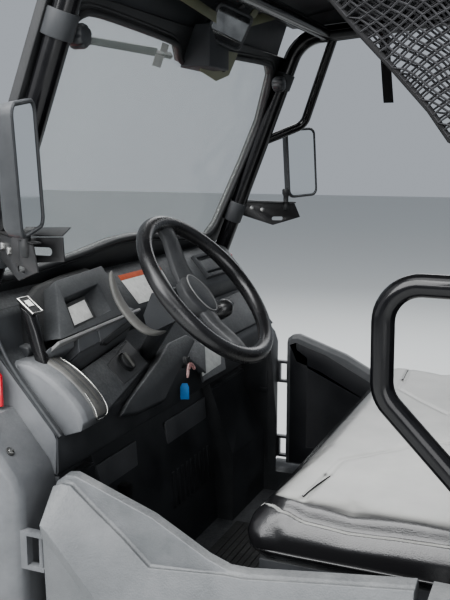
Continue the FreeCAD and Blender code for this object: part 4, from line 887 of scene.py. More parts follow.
def selectorLever():
    rings = []
    # columns: x, z, half width along x, half width along y
    for x, z, depth, half in ((0.624, 1.05, 0.012, 0.011), (0.634, 1.085, 0.014, 0.013),
                              (0.645, 1.125, 0.0155, 0.014), (0.654, 1.158, 0.0165, 0.015),
                              (0.658, 1.17, 0.0165, 0.015)):
        ring = []
        for c, s in circle(12):
            across, along = math.copysign(abs(c) ** 0.7, c), math.copysign(abs(s) ** 0.7, s)
            ring.append((x + depth * across, selectorY + half * along, z + (0.012 * c if z > 1.15 else 0)))
        rings.append(ring)
    dress(soften(loft("selector_lever", rings), 0.002, 3, 50), "wheelRim")
    cap = [(0.637, 0.543, 1.158), (0.637, 0.577, 1.158), (0.673, 0.577, 1.186), (0.673, 0.543, 1.186)]
    dress(soften(slab("lever_cap", cap, (-0.003, 0, 0.005)), 0.0015), "seal")
    dress(wirePath("lever_trim", [(x - 0.003, y, z + 0.005) for x, y, z in cap], 0.0022, closed=True,
                   smooth=False), "chrome")
    window = [(0.648, 0.551, 1.174), (0.648, 0.569, 1.174), (0.662, 0.569, 1.185), (0.662, 0.551, 1.185)]
    dress(soften(slab("lever_window", window, (-0.001, 0, 0.0015)), 0.0006, 1), "chrome")


# Small controls: stalk, paddle, key with its tag

stalkKnob = Vector((0.3426, 0.28, 1.1446))
keyPlace = (0.118, 0.006)  # y, distance up the dash's slope


def brakePaddle():
    rings = []
    # columns: x, y, z, half width
    for x, y, z, half in ((0.511, 0.476, 1.246, 0.007), (0.496, 0.493, 1.216, 0.014),
                          (0.472, 0.508, 1.186, 0.017), (0.444, 0.51, 1.156, 0.018),
                          (0.421, 0.503, 1.133, 0.018), (0.404, 0.486, 1.122, 0.017),
                          (0.394, 0.456, 1.122, 0.012)):
        rings.append([(x, y - half, z), (x + 0.005, y - half * 0.6, z - 0.006),
                      (x + 0.005, y + half * 0.6, z - 0.006), (x, y + half, z),
                      (x - 0.004, y + half * 0.5, z + 0.005), (x - 0.004, y - half * 0.5, z + 0.005)])
    dress(round2(loft("brake_paddle", rings), 2), "bracket")


def stalk():
    dress(rod("stalk_arm", (0.41, 0.392, 1.14), (0.354, 0.29, 1.134), 0.0055), "seal")
    head = ball("stalk_knob", stalkKnob, (0.024, 0.021, 0.021), 0.4)
    for vertex in head.data.vertices:
        lean = max(0.0, (vertex.co - stalkKnob).dot(Vector((0.6, 0.5, -0.6))))
        vertex.co += Vector((0.5, 0.45, -0.5)) * lean * 0.6
    dress(head, "wheelRim")


def keyAndTag():
    barrel = rod("key_barrel", onSlope(*keyPlace, 0.04), onSlope(*keyPlace, 0.062), 0.012, 32)
    dress(soften(barrel, 0.002), "seal")
    top = onSlope(*keyPlace, 0.066)
    outline = ((-0.01, 0.006), (0.01, 0.006), (0.01, -0.02), (-0.01, -0.02))
    blade = [top + Vector((0, y, z)) for y, z in outline]
    key = slab("key_blade", blade, (-0.003, 0, 0))
    dress(soften(key, 0.001), "seal")
    # columns: name, sideways swing of each loop, drop
    for name, swing, drop in (("tag_cord_left", 0.016, 0.046), ("tag_cord_right", -0.024, 0.034),
                              ("tag_cord_short", 0.006, 0.026)):
        loop = ((-0.003, 0, -0.012), (-0.006, swing * 0.6 + 0.006, -drop * 0.5), (-0.006, swing, -drop),
                (-0.004, swing - 0.012, -drop * 0.9), (-0.003, swing * 0.4 - 0.007, -drop * 0.4))
        dress(wirePath(name, [top + Vector(spot) for spot in loop], 0.0021, closed=True), "pink")
    low = top + Vector((0.004, 0.01, -0.06))
    left = Vector((0.0105, 0.0045, 0))
    # columns: share of the half width, drop
    rows = ((0.6, 0), (-0.6, 0), (-1, -0.01), (-1, -0.042), (1, -0.042), (1, -0.01))
    tag = slab("key_tag", [low + left * share + Vector((0, 0, drop)) for share, drop in rows],
               (-0.001, 0.003, 0))
    dress(soften(tag, 0.0016, 3), "blue")


dashShell()
dashBlocks()
dashPanels()
gloveBox()
dashLabel()
dashKnob()
instrumentPod()
selectorHousing()
selectorGate()
selectorLever()
brakePaddle()
stalk()
keyAndTag()
print("dash made")


# Doors, lofted along x

doorShape = {"in": 0.664, "crest": 0.686, "outer": 0.757, "low": 0.434, "foot": 0.735}


def doorShell(side):
    rings = []
    # columns: x, crest height, recess depth, ridge height, height of the facet's lower edge
    rows = ((-0.168, 0.803, 0.004, 0.799, 0.64), (0.0, 0.78, 0.004, 0.776, 0.61),
            (0.12, 0.763, 0.005, 0.758, 0.58), (0.159, 0.762, 0.007, 0.757, 0.57),
            (0.2, 0.776, 0.026, 0.753, 0.562), (0.308, 0.833, 0.04, 0.741, 0.6),
            (0.363, 0.852, 0.04, 0.789, 0.652), (0.426, 0.874, 0.028, 0.837, 0.722),
            (0.47, 0.889, 0.01, 0.873, 0.771), (0.49, 0.886, 0.006, 0.874, 0.793),
            (0.508, 0.872, 0.004, 0.866, 0.808))
    shape = doorShape
    for x, crest, depth, ridge, facet in rows:
        ring = [(shape["in"], shape["low"]), (shape["in"], crest - 0.014), (shape["in"] + 0.009, crest),
                (shape["crest"] + 0.008, crest - 0.002),
                (shape["crest"] + 0.011, min(crest - depth, ridge + 0.002)), (0.701, ridge - 0.003),
                (0.709, ridge), (shape["outer"], facet), (shape["outer"] - 0.008, facet - 0.03),
                (shape["foot"], shape["low"])]
        rings.append([(x, side * y, z) for y, z in ring])
    name = "door_left" if side > 0 else "door_right"
    shell = soften(loft("made_" + name, rings), 0.004, 3, 18)
    dress(shell, "door", body=name, stands=[name])
    # inner card with a sunk field
    y = side * (shape["in"] - 0.002)
    card = [(0.496, y, 0.852), (0.476, y, 0.86), (0.371, y, 0.826), (0.197, y, 0.736), (0.15, y, 0.733),
            (-0.16, y, 0.77), (-0.16, y, 0.44), (0.496, y, 0.44)]
    piece = slab(name + "_card", card, (0, side * 0.003, 0))
    edit(piece, "FACE", lambda c, n: n.y * side < -0.9)
    bpy.ops.mesh.inset(thickness=0.06, depth=0.0)
    bpy.ops.mesh.extrude_region_move(TRANSFORM_OT_translate={"value": (0, side * 0.0015, 0)})
    leave()
    dress(soften(piece, 0.0008), "doorDark", body=name)


for side in (1, -1):
    doorShell(side)
print("doors made")


# Windshield: seal round the glass, wiper, blank stickers and brackets

screen = {"top": (0.56, 1.7), "rake": 22.3, "headerHalf": 0.588}
# columns: y, distance up the slope; half of the glass opening from its top middle
openingHalf = ((0, 0.005), (0.058, 0.005), (0.08, 0.016), (0.104, 0.04), (0.13, 0.047), (0.3, 0.054),
               (0.49, 0.06), (0.528, 0.052), (0.556, 0.028), (0.578, -0.02), (0.606, -0.105), (0.61, -0.15),
               (0.602, -0.254), (0.573, -0.45), (0.56, -0.488), (0.53, -0.508), (0.48, -0.506),
               (0.258, -0.49), (0.105, -0.466), (0, -0.462))


def onScreen(y, up, out=0.0):
    rake = math.radians(screen["rake"])
    return Vector((screen["top"][0] - math.sin(rake) * up - math.cos(rake) * out, y,
                   screen["top"][1] + math.cos(rake) * up - math.sin(rake) * out))


def windshieldTrim():
    outline = list(openingHalf) + [(-y, up) for y, up in openingHalf[-2:0:-1]]
    for name, grow, out, radius in (("screen_seal", 0.002, 0.014, 0.0075),
                                    ("screen_lip", 0.016, 0.012, 0.004)):
        ring = []
        for y, up in outline:
            ring.append(onScreen(y + math.copysign(grow, y), up + (grow if up > -0.2 else -grow), out))
        dress(wirePath(name, ring, radius, closed=True), "seal", "soft_rubber")
    # wiper on the outer side of the glass
    pivot = onScreen(0.055, 0.012, -0.022)
    tip = onScreen(0.5, -0.004, -0.022)
    ends = []
    # columns: place, half height, half depth
    for spot, tall, deep in ((pivot, 0.009, 0.006), (tip, 0.004, 0.003)):
        ends.append([move(spot, (0, 0, 1), tall), move(spot, (1, 0, 0.3), deep),
                     move(spot, (0, 0, -1), tall), move(spot, (-1, 0, -0.3), deep)])
    arm = loft("wiper_arm", ends)
    dress(soften(arm, 0.001), "seal", "frame_black")
    blade = [onScreen(0.15, 0.022, -0.012), onScreen(0.56, 0.006, -0.012), onScreen(0.56, -0.006, -0.012),
             onScreen(0.15, 0.008, -0.012)]
    out = onScreen(0, 0, -1) - onScreen(0, 0)
    dress(soften(slab("wiper_blade", blade, out * 0.01), 0.001), "under", "soft_rubber")
    # columns: name, y, distance up the slope, half width, half height
    for name, y, up, half, tall in (("sticker_upper", 0.15, 0.028, 0.018, 0.01),
                                    ("sticker_lower", 0.16, -0.004, 0.022, 0.014)):
        spots = [onScreen(y - half, up - tall, 0.0035), onScreen(y + half, up - tall + 0.002, 0.0035),
                 onScreen(y + half, up + tall + 0.002, 0.0035), onScreen(y - half, up + tall, 0.0035)]
        dress(slab(name, spots, -out * 0.0006), "pale")


def roofBrackets():
    # columns: name, start, end, half width
    rows = (("bracket_near", (0.452, 0.444, 1.842), (0.452, 0.06, 1.8), 0.013),
            ("bracket_far", (0.428, -0.326, 1.866), (0.444, -0.06, 1.8), 0.013),
            ("bracket_cross", (0.47, -0.12, 1.772), (0.42, -0.15, 1.862), 0.02))
    for name, start, end, half in rows:
        start, end = Vector(start), Vector(end)
        side = Vector((0, 0, 1)) if abs(start.y - end.y) > 0.1 else Vector((0, 1, 0))
        spots = [start + side * half, end + side * half, end - side * half, start - side * half]
        plate = slab(name, spots, (0.003, 0, 0.0008))
        dress(soften(plate, 0.001), "olive", "frame_black")
    # closing panel between the roof's front edge and the screen frame
    profile = ((0.54, 1.748), (0.526, 1.8), (0.498, 1.88), (0.494, 1.88), (0.522, 1.8), (0.536, 1.748))
    header = [[(x, side * screen["headerHalf"], z) for x, z in profile] for side in (-1, 1)]
    dress(soften(loft("roof_header", header), 0.001), "under")
    flap = [(0.497, 0.05, 1.742), (0.497, -0.19, 1.748), (0.512, -0.16, 1.688), (0.516, -0.086, 1.668),
            (0.514, 0.02, 1.684)]
    piece = slab("motor_flap", flap, (0.0025, 0, 0.0005))
    dress(soften(piece, 0.001), "olive", "frame_black")
    bolt = rod("motor_bolt", (0.5085, -0.11, 1.7), (0.502, -0.11, 1.699), 0.0075, 6)
    dress(soften(bolt, 0.0008), "seal", "bare_steel")


# places of the cage's tubes: half the width between them, height of the roof rails, x of the rear upright,
# and where the front pillar's top is and how far it leans
cage = {"y": 0.62, "railZ": 1.88, "rearX": -0.47, "pillarTop": (0.51, 1.734), "lean": 0.4}


def pillarClamps():
    for side in (1, -1):
        # columns: name, height of the middle, radius, height of the collar
        for name, z, radius, tall in (("clamp_upper", 1.712, 0.031, 0.046),
                                      ("clamp_lower", 1.3, 0.0325, 0.06)):
            ends = []
            for level in (z - tall / 2, z + tall / 2):
                x = cage["pillarTop"][0] + cage["lean"] * (cage["pillarTop"][1] - level)
                ends.append(Vector((x, side * cage["y"], level)))
            collar = rod(name, ends[0], ends[1], radius, 40)
            dress(soften(collar, 0.002), "pod")
        spot = Vector((0.534, side * 0.566, 1.697))
        rings = []
        # columns: distance from the pillar, radius; every fourth point is drawn in for the grip
        for reach, radius in ((0, 0.011), (0.004, 0.02), (0.01, 0.0235), (0.03, 0.0235), (0.037, 0.02),
                              (0.04, 0.012)):
            sizes = [radius * (0.86 if step % 4 == 0 else 1) for step in range(24)]
            ring = []
            for size, (c, s) in zip(sizes, circle(24)):
                ring.append(spot + Vector((-reach, size * c, size * s)))
            rings.append(ring)
        dress(soften(loft("clamp_knob", rings), 0.001), "body")
        dress(rod("clamp_bolt", (0.52, side * 0.6, 1.702), (0.515, side * 0.56, 1.698), 0.008), "seal",
              "bare_steel")


windshieldTrim()
roofBrackets()
pillarClamps()
print("windshield parts made")


# Mirrors, made round the origin with the glass towards +Y and then set in place

def roundRect(half, tall, radius, each=6):
    spots = []
    for across, up, start in ((half - radius, tall - radius, 0), (radius - half, tall - radius, 90),
                              (radius - half, radius - tall, 180), (half - radius, radius - tall, 270)):
        for step in range(each):
            turn = math.radians(start + 90 * step / (each - 1))
            spots.append((across + radius * math.cos(turn), up + radius * math.sin(turn)))
    return spots


def setMirror(piece, place, basis):
    piece.matrix_world = Matrix.Translation(place) @ basis
    return fixPlace(piece)


def mirrorHead(name, half, tall, radius, place, basis, depth=0.02):
    rings = []
    # columns: share of the depth, how much smaller than the rim
    for share, shrink in ((-1.0, 0.02), (-0.9, 0.011), (-0.5, 0.004), (0.3, 0.001), (0.8, 0.0),
                          (0.95, 0.0025), (0.95, 0.006), (0.72, 0.0075)):
        outline = roundRect(half - shrink, tall - shrink, max(radius - shrink * 0.5, 0.006))
        rings.append([(across, share * depth, up) for across, up in outline])
    shell = setMirror(loft(name, rings), place, basis)
    dress(soften(shell, 0.0008, 2, 50), "body")
    outline = roundRect(half - 0.008, tall - 0.008, radius - 0.004)
    glass = slab(name + "_glass", [(across, 0.74 * depth, up) for across, up in outline], (0, 0.0012, 0))
    dress(soften(setMirror(glass, place, basis), 0.0004, 1), "mirror", "screen_glass")


flapY = 0.7  # folded flap that stands behind the near mirror's plate


def mirrorFlap():
    box = [(0.586, flapY, 1.33), (0.474, flapY, 1.334), (0.472, flapY, 1.29), (0.586, flapY, 1.282)]
    flap = slab("mirror_flap", box, (0, -0.0035, 0))
    slot = [(0.521 + across, flapY + 0.008, 1.307 + up) for across, up in roundRect(0.023, 0.0075, 0.007)]
    dress(soften(cutBy(flap, slab("hole", slot, (0, -0.02, 0))), 0.001), "frame", "frame_black")
    top = [(0.586, flapY, 1.331), (0.474, flapY, 1.335), (0.486, flapY - 0.045, 1.346),
           (0.56, flapY - 0.045, 1.343)]
    dress(soften(slab("mirror_flap_top", top, (0, 0, 0.003)), 0.001), "frame", "frame_black")


sideHead = {"half": 0.06, "tall": 0.114, "corner": 0.022, "z": 1.456}
# columns: side, name, x and y of the head, its turn and its lean in degrees
sideMirrors = ((1, "mirror_near", 0.516, 0.762, 106, 7.5), (-1, "mirror_far", 0.51, -0.77, 53.9, 4))


def sideMirror(side, name, x, y, turn, lean):
    basis = Matrix.Rotation(math.radians(turn), 4, "Z") @ Matrix.Rotation(math.radians(lean), 4, "Y")
    place = Vector((x, y, sideHead["z"]))
    mirrorHead(name, sideHead["half"], sideHead["tall"], sideHead["corner"], place, basis)
    foot, tip = Vector((0.662, side * 0.64, 0)), Vector((0.497, side * 0.748, 0))
    run = (tip - foot).normalized()
    out = Vector((-run.y, run.x, 0)) * side

    def onPlate(along, z):
        return foot + run * along + Vector((0, 0, z))

    corners = ((0, 1.33), (0.177, 1.322), (0.197, 1.276), (0.103, 1.25), (0, 1.284))
    plate = slab("mirror_plate", [onPlate(along, z) for along, z in corners], out * 0.0045)
    outline = roundRect(0.019, 0.006, 0.0058)
    slot = [onPlate(0.118 + across, 1.272 + up) - out * 0.004 for across, up in outline]
    plate = soften(cutBy(plate, slab("hole", slot, out * 0.014)), 0.001)
    dress(plate, "frame", "frame_black", stands=["side_mirrors"] if side > 0 else ())
    low, high = onPlate(0.002, 1.331), onPlate(0.178, 1.323)
    fold = slab("mirror_plate_fold", [low, high, high + out * 0.018, low + out * 0.018], (0, 0, 0.0035))
    dress(soften(fold, 0.001), "frame", "frame_black")
    for along, z in ((0.03, 1.308), (0.066, 1.302)):
        spot = onPlate(along, z)
        bolt = rod("plate_bolt", spot - out * 0.006, spot + out * 0.007, 0.0078, 6)
        dress(soften(bolt, 0.001), "steel", "bare_steel")
    post = Vector((0.538, side * 0.72, 1.298))
    rings = []
    # columns: height, radius
    for up, radius in ((0, 0.009), (0.003, 0.0115), (0.024, 0.0115), (0.03, 0.0085), (0.048, 0.0085),
                       (0.056, 0.0125), (0.068, 0.0125), (0.072, 0.01)):
        rings.append([post + Vector((radius * c, radius * s, up)) for c, s in circle(20)])
    dress(soften(loft("mirror_post", rings), 0.001, 2, 50), "seal")


def cutBy(piece, cutter):
    take(piece)
    modifier = piece.modifiers.new("cut", "BOOLEAN")
    modifier.operation = "DIFFERENCE"
    modifier.object = cutter
    modifier.solver = "EXACT"
    bpy.ops.object.modifier_apply(modifier="cut")
    take(cutter)
    bpy.ops.object.delete()
    return take(piece)


def cabMirror():
    across, facing = Vector((0.39, 0.9, 0.2)).normalized(), Vector((-0.8, 0.44, -0.41)).normalized()
    basis = Matrix((across, facing, across.cross(facing))).transposed().to_4x4()
    place = Vector((0.452, -0.004, 1.79))
    mirrorHead("mirror_cab", 0.061, 0.046, 0.014, place, basis, 0.014)
    stem = wirePath("mirror_cab_stem", [place - facing * 0.012, place - facing * 0.034,
                                        (0.425, -0.018, 1.835), (0.395, -0.02, 1.846)], 0.0065)
    dress(stem, "seal", stands=["interior_mirror"])


for row in sideMirrors:
    sideMirror(*row)
mirrorFlap()
cabMirror()
print("mirrors made")


# Net in the driver's window, two layers of diamond mesh inside one outline of x and z

netEdge = [(0.128, 1.85), (0.08, 1.784), (0.016, 1.722), (-0.035, 1.664), (-0.087, 1.61), (-0.144, 1.547),
           (-0.177, 1.501), (-0.29, 1.45), (-0.44, 1.398), (-0.44, 1.85)]
net = {"cell": 0.015, "cells": 55, "middle": (-0.15, 1.64), "stretch": (0.8, 0.62), "y": 0.602,
       "apart": 0.0035, "ripple": 0.0035, "sway": 0.0022, "cord": 0.0052, "hem": 0.0055, "lashing": 0.0032,
       "flat": (0.57, 0.455)}
strapTail = {"flat": (0.03, 0.225), "thick": 0.002}
netSides = list(zip(netEdge, netEdge[1:] + netEdge[:1]))


def insideNet(x, z):
    crossings = 0
    for (x0, z0), (x1, z1) in netSides:
        if (z0 > z) != (z1 > z) and x < x0 + (z - z0) / (z1 - z0) * (x1 - x0):
            crossings += 1
    return crossings % 2 == 1


def toNetEdge(spot):
    best = None
    for (x0, z0), (x1, z1) in netSides:
        side = Vector((x1 - x0, z1 - z0))
        share = max(0.0, min(1.0, (spot - Vector((x0, z0))).dot(side) / side.length_squared))
        near = Vector((x0, z0)) + side * share
        if best is None or (near - spot).length < (best - spot).length:
            best = near
    return best


def netLayer(name, shift, y):
    deselect()
    cells, middle, stretch = net["cells"], net["middle"], net["stretch"]
    bpy.ops.mesh.primitive_grid_add(x_subdivisions=cells, y_subdivisions=cells, size=cells * net["cell"])
    piece = bpy.context.object
    piece.name = name
    mesh = piece.data
    for vertex in mesh.vertices:
        u, v = vertex.co.x, vertex.co.y
        x = middle[0] + shift + (u - v) * stretch[0] + net["ripple"] * math.sin(u * 61 + v * 23)
        z = middle[1] + (u + v) * stretch[1] + net["ripple"] * math.sin(u * 37 - v * 53 + 1)
        vertex.co = (x, y + net["sway"] * math.sin(x * 48) * math.cos(z * 31), z)
    edit(piece, "FACE", lambda c, n: not insideNet(c.x, c.z))
    bpy.ops.mesh.delete(type="FACE")
    leave()
    uses = {}
    for face in mesh.polygons:
        for key in face.edge_keys:
            uses[key] = uses.get(key, 0) + 1
    rim = {index for key, count in uses.items() if count == 1 for index in key}
    for index in rim:
        vertex = mesh.vertices[index]
        spot = toNetEdge(Vector((vertex.co.x, vertex.co.z)))
        vertex.co.x, vertex.co.z = spot.x, spot.y
    take(piece)
    cords = piece.modifiers.new("cords", "WIREFRAME")
    cords.thickness = net["cord"]
    cords.use_even_offset = False
    bpy.ops.object.modifier_apply(modifier="cords")
    bpy.ops.object.shade_smooth_by_angle(angle=math.radians(60))
    return dress(piece, "net", "net_fabric")


def sideNet():
    area = abs(sum(x0 * z1 - x1 * z0 for (x0, z0), (x1, z1) in netSides)) / 2
    outer = netLayer("net_outer", 0, net["y"] + net["apart"])
    inner = netLayer("net_inner", 0.009, net["y"] - net["apart"])
    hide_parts("side_net")
    edge = [(x, net["y"] + 0.001 * math.sin(i * 2.1), z) for i, (x, z) in enumerate(netEdge)]
    hem = wirePath("net_hem", edge, net["hem"], closed=True, smooth=False)
    dress(hem, "strap", "net_fabric")
    # lashings round the roof rail and the rear upright
    y = cage["y"]
    loops = [[(x + 0.004 * c, y + 0.0285 * c, cage["railZ"] + 0.03 * s) for c, s in circle(12)]
             for x in (-0.4, -0.3, -0.2, -0.1, 0, 0.09)]
    loops += [[(cage["rearX"] + 0.031 * c, y + 0.0285 * s, z + 0.003 * c) for c, s in circle(12)]
              for z in (1.46, 1.6, 1.74)]
    lashings = [wirePath("lashing", loop, net["lashing"], closed=True) for loop in loops]
    lashing = dress(join("net_lashings", lashings), "net", "net_fabric")


def webbingTail():
    # hangs at the far side
    half, thick = strapTail["flat"][0] / 2, strapTail["thick"]
    # columns: x, y, z down the webbing
    rows = ((0.197, -0.5935, 1.858), (0.197, -0.59, 1.84), (0.192, -0.6, 1.78), (0.185, -0.6035, 1.7),
            (0.178, -0.603, 1.635))
    rings = []
    for x, y, z in rows:
        # its top lies on the rail, and the rest hangs
        across = Vector((0, 0, thick * 0.75)) if z > 1.85 else Vector((0, thick / 2, 0))
        ends = [Vector((x - half, y, z)), Vector((x + half, y, z))]
        rings.append([ends[0] - across, ends[1] - across, ends[1] + across, ends[0] + across])
    tail = dress(soften(loft("strap_tail", rings), 0.0004, 1), "strap", "net_fabric")


sideNet()
webbingTail()
print("net made")


# Seat: a cushion and a back, each filled from a smaller form

seat = {"half": 0.59, "foot": 0.728, "top": 0.83, "voxel": 0.01, "pressure": 4, "cap": 0.014, "seam": 0.011}
backrest = {"half": 0.548, "voxel": 0.012, "pressure": 3, "cap": 0.016, "seam": 0.016}
clothFrames = 20
seamReach = 0.045  # how deep under a seam's line the cover is still drawn in


def filled(piece, form):
    take(piece)
    piece.data.remesh_voxel_size = form["voxel"]
    bpy.ops.object.voxel_remesh()
    old = [vertex.co.copy() for vertex in piece.data.vertices]
    modifier = piece.modifiers.new("fill", "CLOTH")
    modifier.settings.use_pressure = True
    modifier.settings.uniform_pressure_force = form["pressure"]
    modifier.settings.effector_weights.gravity = 0
    for step in range(1, clothFrames + 1):
        bpy.context.scene.frame_set(step)
    take(piece)
    bpy.ops.object.modifier_apply(modifier="fill")
    for vertex, start in zip(piece.data.vertices, old):
        shift = vertex.co - start
        if shift.length > form["cap"]:
            vertex.co = start + shift * (form["cap"] / shift.length)
    bpy.context.scene.frame_set(1)
    return round2(piece, 1)


def groove(piece, lines, towards, spread):
    # columns of lines: points of the line, how deep it is sewn in
    into = Vector(towards).normalized()
    for points, depth in lines:
        spots = [Vector(point) for point in points]
        for vertex in piece.data.vertices:
            near = 1.0
            for start, end in zip(spots, spots[1:]):
                side = end - start
                share = max(0.0, min(1.0, (vertex.co - start).dot(side) / side.length_squared))
                gap = vertex.co - (start + side * share)
                if abs(gap.dot(into)) < seamReach:
                    near = min(near, (gap - into * gap.dot(into)).length)
            if near < spread:
                vertex.co += into * depth * (math.cos(near / spread * math.pi) * 0.5 + 0.5)


def bothSides(seams):
    lines = []
    for side in (1, -1):
        for depth, points in seams:
            lines.append(([(x, side * y, z) for x, y, z in points], depth))
    return lines


def acrossBoth(points, middle):
    return points + middle + [(x, -y, z) for x, y, z in points[::-1]]


def piping(name, piece, points, radius, look="wheelRim", out=0.0012):
    spots = []
    for point in points:
        found, place, normal, face = piece.closest_point_on_mesh(Vector(point))
        spots.append(place + normal * out)
    return dress(wirePath(name, spots, radius), look, "seat_vinyl")


def seatCushion():
    half = seat["half"]
    # columns: y, how much the end is drawn in, drop of the top, rise of the foot
    rows = ((-half, 0.04, 0.05, 0.018), (-half + 0.008, 0.018, 0.034, 0.006),
            (-half + 0.02, 0.006, 0.016, 0), (-half + 0.034, 0.001, 0.004, 0), (-half + 0.05, 0, -0.002, 0),
            (-0.3, 0, 0, 0), (0, 0, -0.003, 0))
    rows += tuple((-y, inset, drop, rise) for y, inset, drop, rise in rows[-2::-1])
    foot, top = seat["foot"], seat["top"]
    rings = []
    for y, inset, drop, rise in rows:
        rings.append([(-0.268, y, foot + rise), (-0.27, y, top - 0.03 - drop), (-0.25, y, top - drop),
                      (-0.02, y, top - 0.004 - drop), (0.11, y, top - drop),
                      (0.15 - inset, y, top - 0.008 - drop), (0.18 - inset, y, top - 0.03 - drop * 0.6),
                      (0.19 - inset, y, 0.77), (0.182 - inset, y, foot + 0.014 + rise * 0.6),
                      (0.156 - inset, y, foot + rise)])
    cushion = filled(loft("seat_cushion_made", rings), seat)
    over = top + 0.01
    # columns: depth of the seam, its points on one side
    seams = ((0.012, ((-0.262, 0.552, over), (0.06, 0.552, over), (0.11, 0.545, over), (0.15, 0.52, top))),
             (0.004, ((0.073, 0.525, over), (0.064, 0.395, over))),
             (0.003, ((0.064, 0.395, over), (0.06, 0.3, over), (-0.1, 0.11, over), (-0.262, 0.11, over))))
    groove(cushion, bothSides(seams), (0, 0, -1), seat["seam"])
    dress(cushion, "vinyl", "seat_vinyl", stands=["seat_cushion"])
    for side in (1, -1):
        weld = [(0.073, side * 0.52, 0.85), (0.069, side * 0.46, 0.85), (0.064, side * 0.4, 0.85)]
        piping("seat_weld", cushion, weld, 0.0026, "vinyl", 0.0004)
    end = [(-0.262, half + 0.03, 0.742), (0.04, half + 0.03, 0.738), (0.11, half + 0.02, 0.738),
           (0.17, half - 0.005, 0.738), (0.21, half - 0.04, 0.738)]
    piping("seat_welt", cushion, acrossBoth(end, [(0.22, y, 0.738) for y in (0.4, 0, -0.4)]), 0.0034)
    # hard edge strip that the cushion's cover is stapled to
    edge = half - 0.034
    strip = slab("seat_board", [(-0.27, -edge, 0.724), (0.13, -edge, 0.724), (0.16, -edge + 0.03, 0.724),
                                (0.16, edge - 0.03, 0.724), (0.13, edge, 0.724), (-0.27, edge, 0.724)],
                 (0, 0, 0.008))
    dress(soften(strip, 0.003), "under")


def seatBack():
    half = backrest["half"]
    rings = []
    for y, inset in ((-half, 0.02), (-half + 0.03, 0.004), (-0.25, 0), (0.25, 0), (half - 0.03, 0.004),
                     (half, 0.02)):
        rings.append([(-0.312, y, 0.76 + inset), (-0.306 - inset * 0.3, y, 0.848),
                      (-0.332 - inset * 0.3, y, 1.0), (-0.398 - inset * 0.3, y, 1.24 - inset),
                      (-0.418, y, 1.276 - inset), (-0.428, y, 1.264 - inset), (-0.41, y, 1.0),
                      (-0.402, y, 0.848), (-0.392, y, 0.76 + inset)])
    back = filled(loft("seat_back_made", rings), backrest)
    # columns: depth of the seam, its points on one side
    seams = ((0.006, ((-0.3, 0.455, 0.8), (-0.312, 0.455, 0.94), (-0.385, 0.43, 1.2))),
             (0.006, ((-0.3, 0.1, 0.8), (-0.312, 0.1, 0.94), (-0.385, 0.12, 1.2))),
             (0.005, ((-0.318, 0.455, 0.96), (-0.318, 0.105, 0.96))),
             (0.005, ((-0.385, 0.455, 1.2), (-0.385, 0.105, 1.2))))
    middle = ([(-0.31, 0, 0.8), (-0.32, 0, 0.96), (-0.41, 0, 1.27)], 0.008)
    groove(back, [middle] + bothSides(seams), (-1, 0, 0), backrest["seam"])
    dress(back, "vinyl", "seat_vinyl", stands=["seat_back"])
    end = [(-0.36, half + 0.03, 0.78), (-0.36, half + 0.03, 0.96), (-0.4, half + 0.03, 1.18),
           (-0.43, half + 0.01, 1.27), (-0.42, half - 0.06, 1.3)]
    piping("back_piping", back, acrossBoth(end, [(-0.42, y, 1.31) for y in (0.3, 0, -0.3)]), 0.0034)


seatCushion()
seatBack()
print("seat made")


# Footwell: ribbed mat, toe plates and ribs, pedal pads, kick panels; then the screws

floorMat = {"from": 0.12, "to": 0.56, "half": 0.342, "z": 0.345, "thick": 0.002, "ribs": 22, "pitch": 0.019}
pedalPad = {"x": 0.585, "lean": 25, "tall": 0.046, "ribs": 5, "pitch": 0.016}
kickPanel = {"y": 0.622, "thick": 0.005}


def mat():
    low, top = floorMat["z"], floorMat["z"] + floorMat["thick"]
    pieces = [block("mat", (floorMat["from"], -floorMat["half"], low),
                    (floorMat["to"], floorMat["half"], top))]
    for step in range(floorMat["ribs"]):
        x = floorMat["from"] + 0.01 + step * floorMat["pitch"]
        half = floorMat["half"] - 0.007
        pieces.append(block("rib", (x, -half, low + 0.0005), (x + 0.007, half, top + 0.0025)))
    dress(soften(join("floor_mat", pieces), 0.0008, 1), "seal", "soft_rubber")


def toeBoard():
    # columns: y from, y to, z from, z to
    for y0, y1, z0, z1 in ((-0.33, -0.06, 0.47, 0.61), (-0.33, -0.06, 0.628, 0.74),
                           (0.11, 0.33, 0.628, 0.74)):
        spots = [(0.6405 + (z - 0.345) * 0.072, y, z) for y, z in ((y0, z0), (y1, z0), (y1, z1), (y0, z1))]
        plate = slab("toe_plate", spots, (-0.007, 0, 0.0006))
        dress(soften(plate, 0.003, 3), "worn")
    ribs = []
    for step in range(9):
        y = -0.31 + step * 0.03
        spots = [(0.6445, y, 0.49), (0.6445, y + 0.014, 0.49), (0.6525, y + 0.014, 0.595),
                 (0.6525, y, 0.595)]
        ribs.append(slab("rib", spots, (-0.0125, 0, 0)))
    dress(soften(join("toe_ribs", ribs), 0.0015), "body", "soft_rubber")


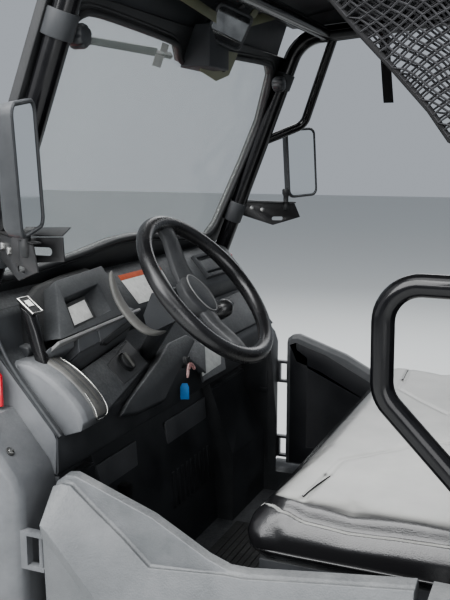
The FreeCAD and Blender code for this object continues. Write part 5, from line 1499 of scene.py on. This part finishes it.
def pedalPads():
    turn = math.radians(pedalPad["lean"])
    along, out = Vector((math.sin(turn), 0, math.cos(turn))), Vector((-math.cos(turn), 0, math.sin(turn)))
    # columns: y, half width, height of the pad's middle
    for y, half, z in ((0.21, 0.03, 0.48), (0.308, 0.024, 0.5)):
        middle = Vector((pedalPad["x"], y, z)) + out * 0.0055

        def onPad(across, up):
            return middle + Vector((0, across, 0)) + along * up

        outline = roundRect(half + 0.001, pedalPad["tall"], 0.009)
        pads = [slab("pad", [onPad(across, up) for across, up in outline], out * 0.005)]
        edge = half - 0.006
        for step in range(pedalPad["ribs"]):
            level = -0.032 + step * pedalPad["pitch"]
            spots = [onPad(-edge, level), onPad(edge, level), onPad(edge, level + 0.006),
                     onPad(-edge, level + 0.006)]
            pads.append(slab("rib", spots, out * 0.0085))
        dress(soften(join("pedal_pad", pads), 0.001), "seal", "soft_rubber")


def kickPanels():
    for side in (1, -1):
        profile = ((0.56, 0.44), (0.6, 0.6), (0.655, 0.72), (0.655, 0.835), (0.562, 0.835))
        kick = [(x, side * kickPanel["y"], z) for x, z in profile]
        dress(soften(slab("kick_panel", kick, (0, -side * kickPanel["thick"], 0)), 0.002), "body")
        spot = Vector((0.575, side * (kickPanel["y"] - 0.004), 0.7))
        outline = [spot + Vector((across, 0, up)) for across, up in roundRect(0.016, 0.008, 0.005)]
        dress(soften(slab("kick_catch", outline, (0, -side * 0.012, 0)), 0.002), "pod")


def screwHead(name, spot, out, radius):
    spot, out = Vector(spot), Vector(out).normalized()
    washer = rod(name + "_washer", spot - out * 0.001, spot + out * 0.0015, radius * 1.55, 32)
    dress(soften(washer, 0.0006, 1), "seal")
    head = rod(name, spot + out * 0.001, spot + out * 0.005, radius, 32)
    edit(head, "FACE", lambda c, n: n.dot(out) > 0.9)
    bpy.ops.mesh.inset(thickness=radius * 0.45, depth=-0.0016)
    leave()
    dress(soften(head, 0.0008), "chrome", "bare_steel")


mat()
toeBoard()
pedalPads()
kickPanels()
for side in (1, -1):
    for x, z in ((0.6047, 0.9187), (0.64, 0.9605)):
        screwHead("fender_screw", (x, side * 0.706, z), (-0.763, 0, 0.646), 0.0062)
    screwHead("dash_screw", onSlope(side * 0.585, 0.012, 0.001), onSlope(0, 0, 1) - onSlope(0, 0), 0.0055)
print("footwell made")
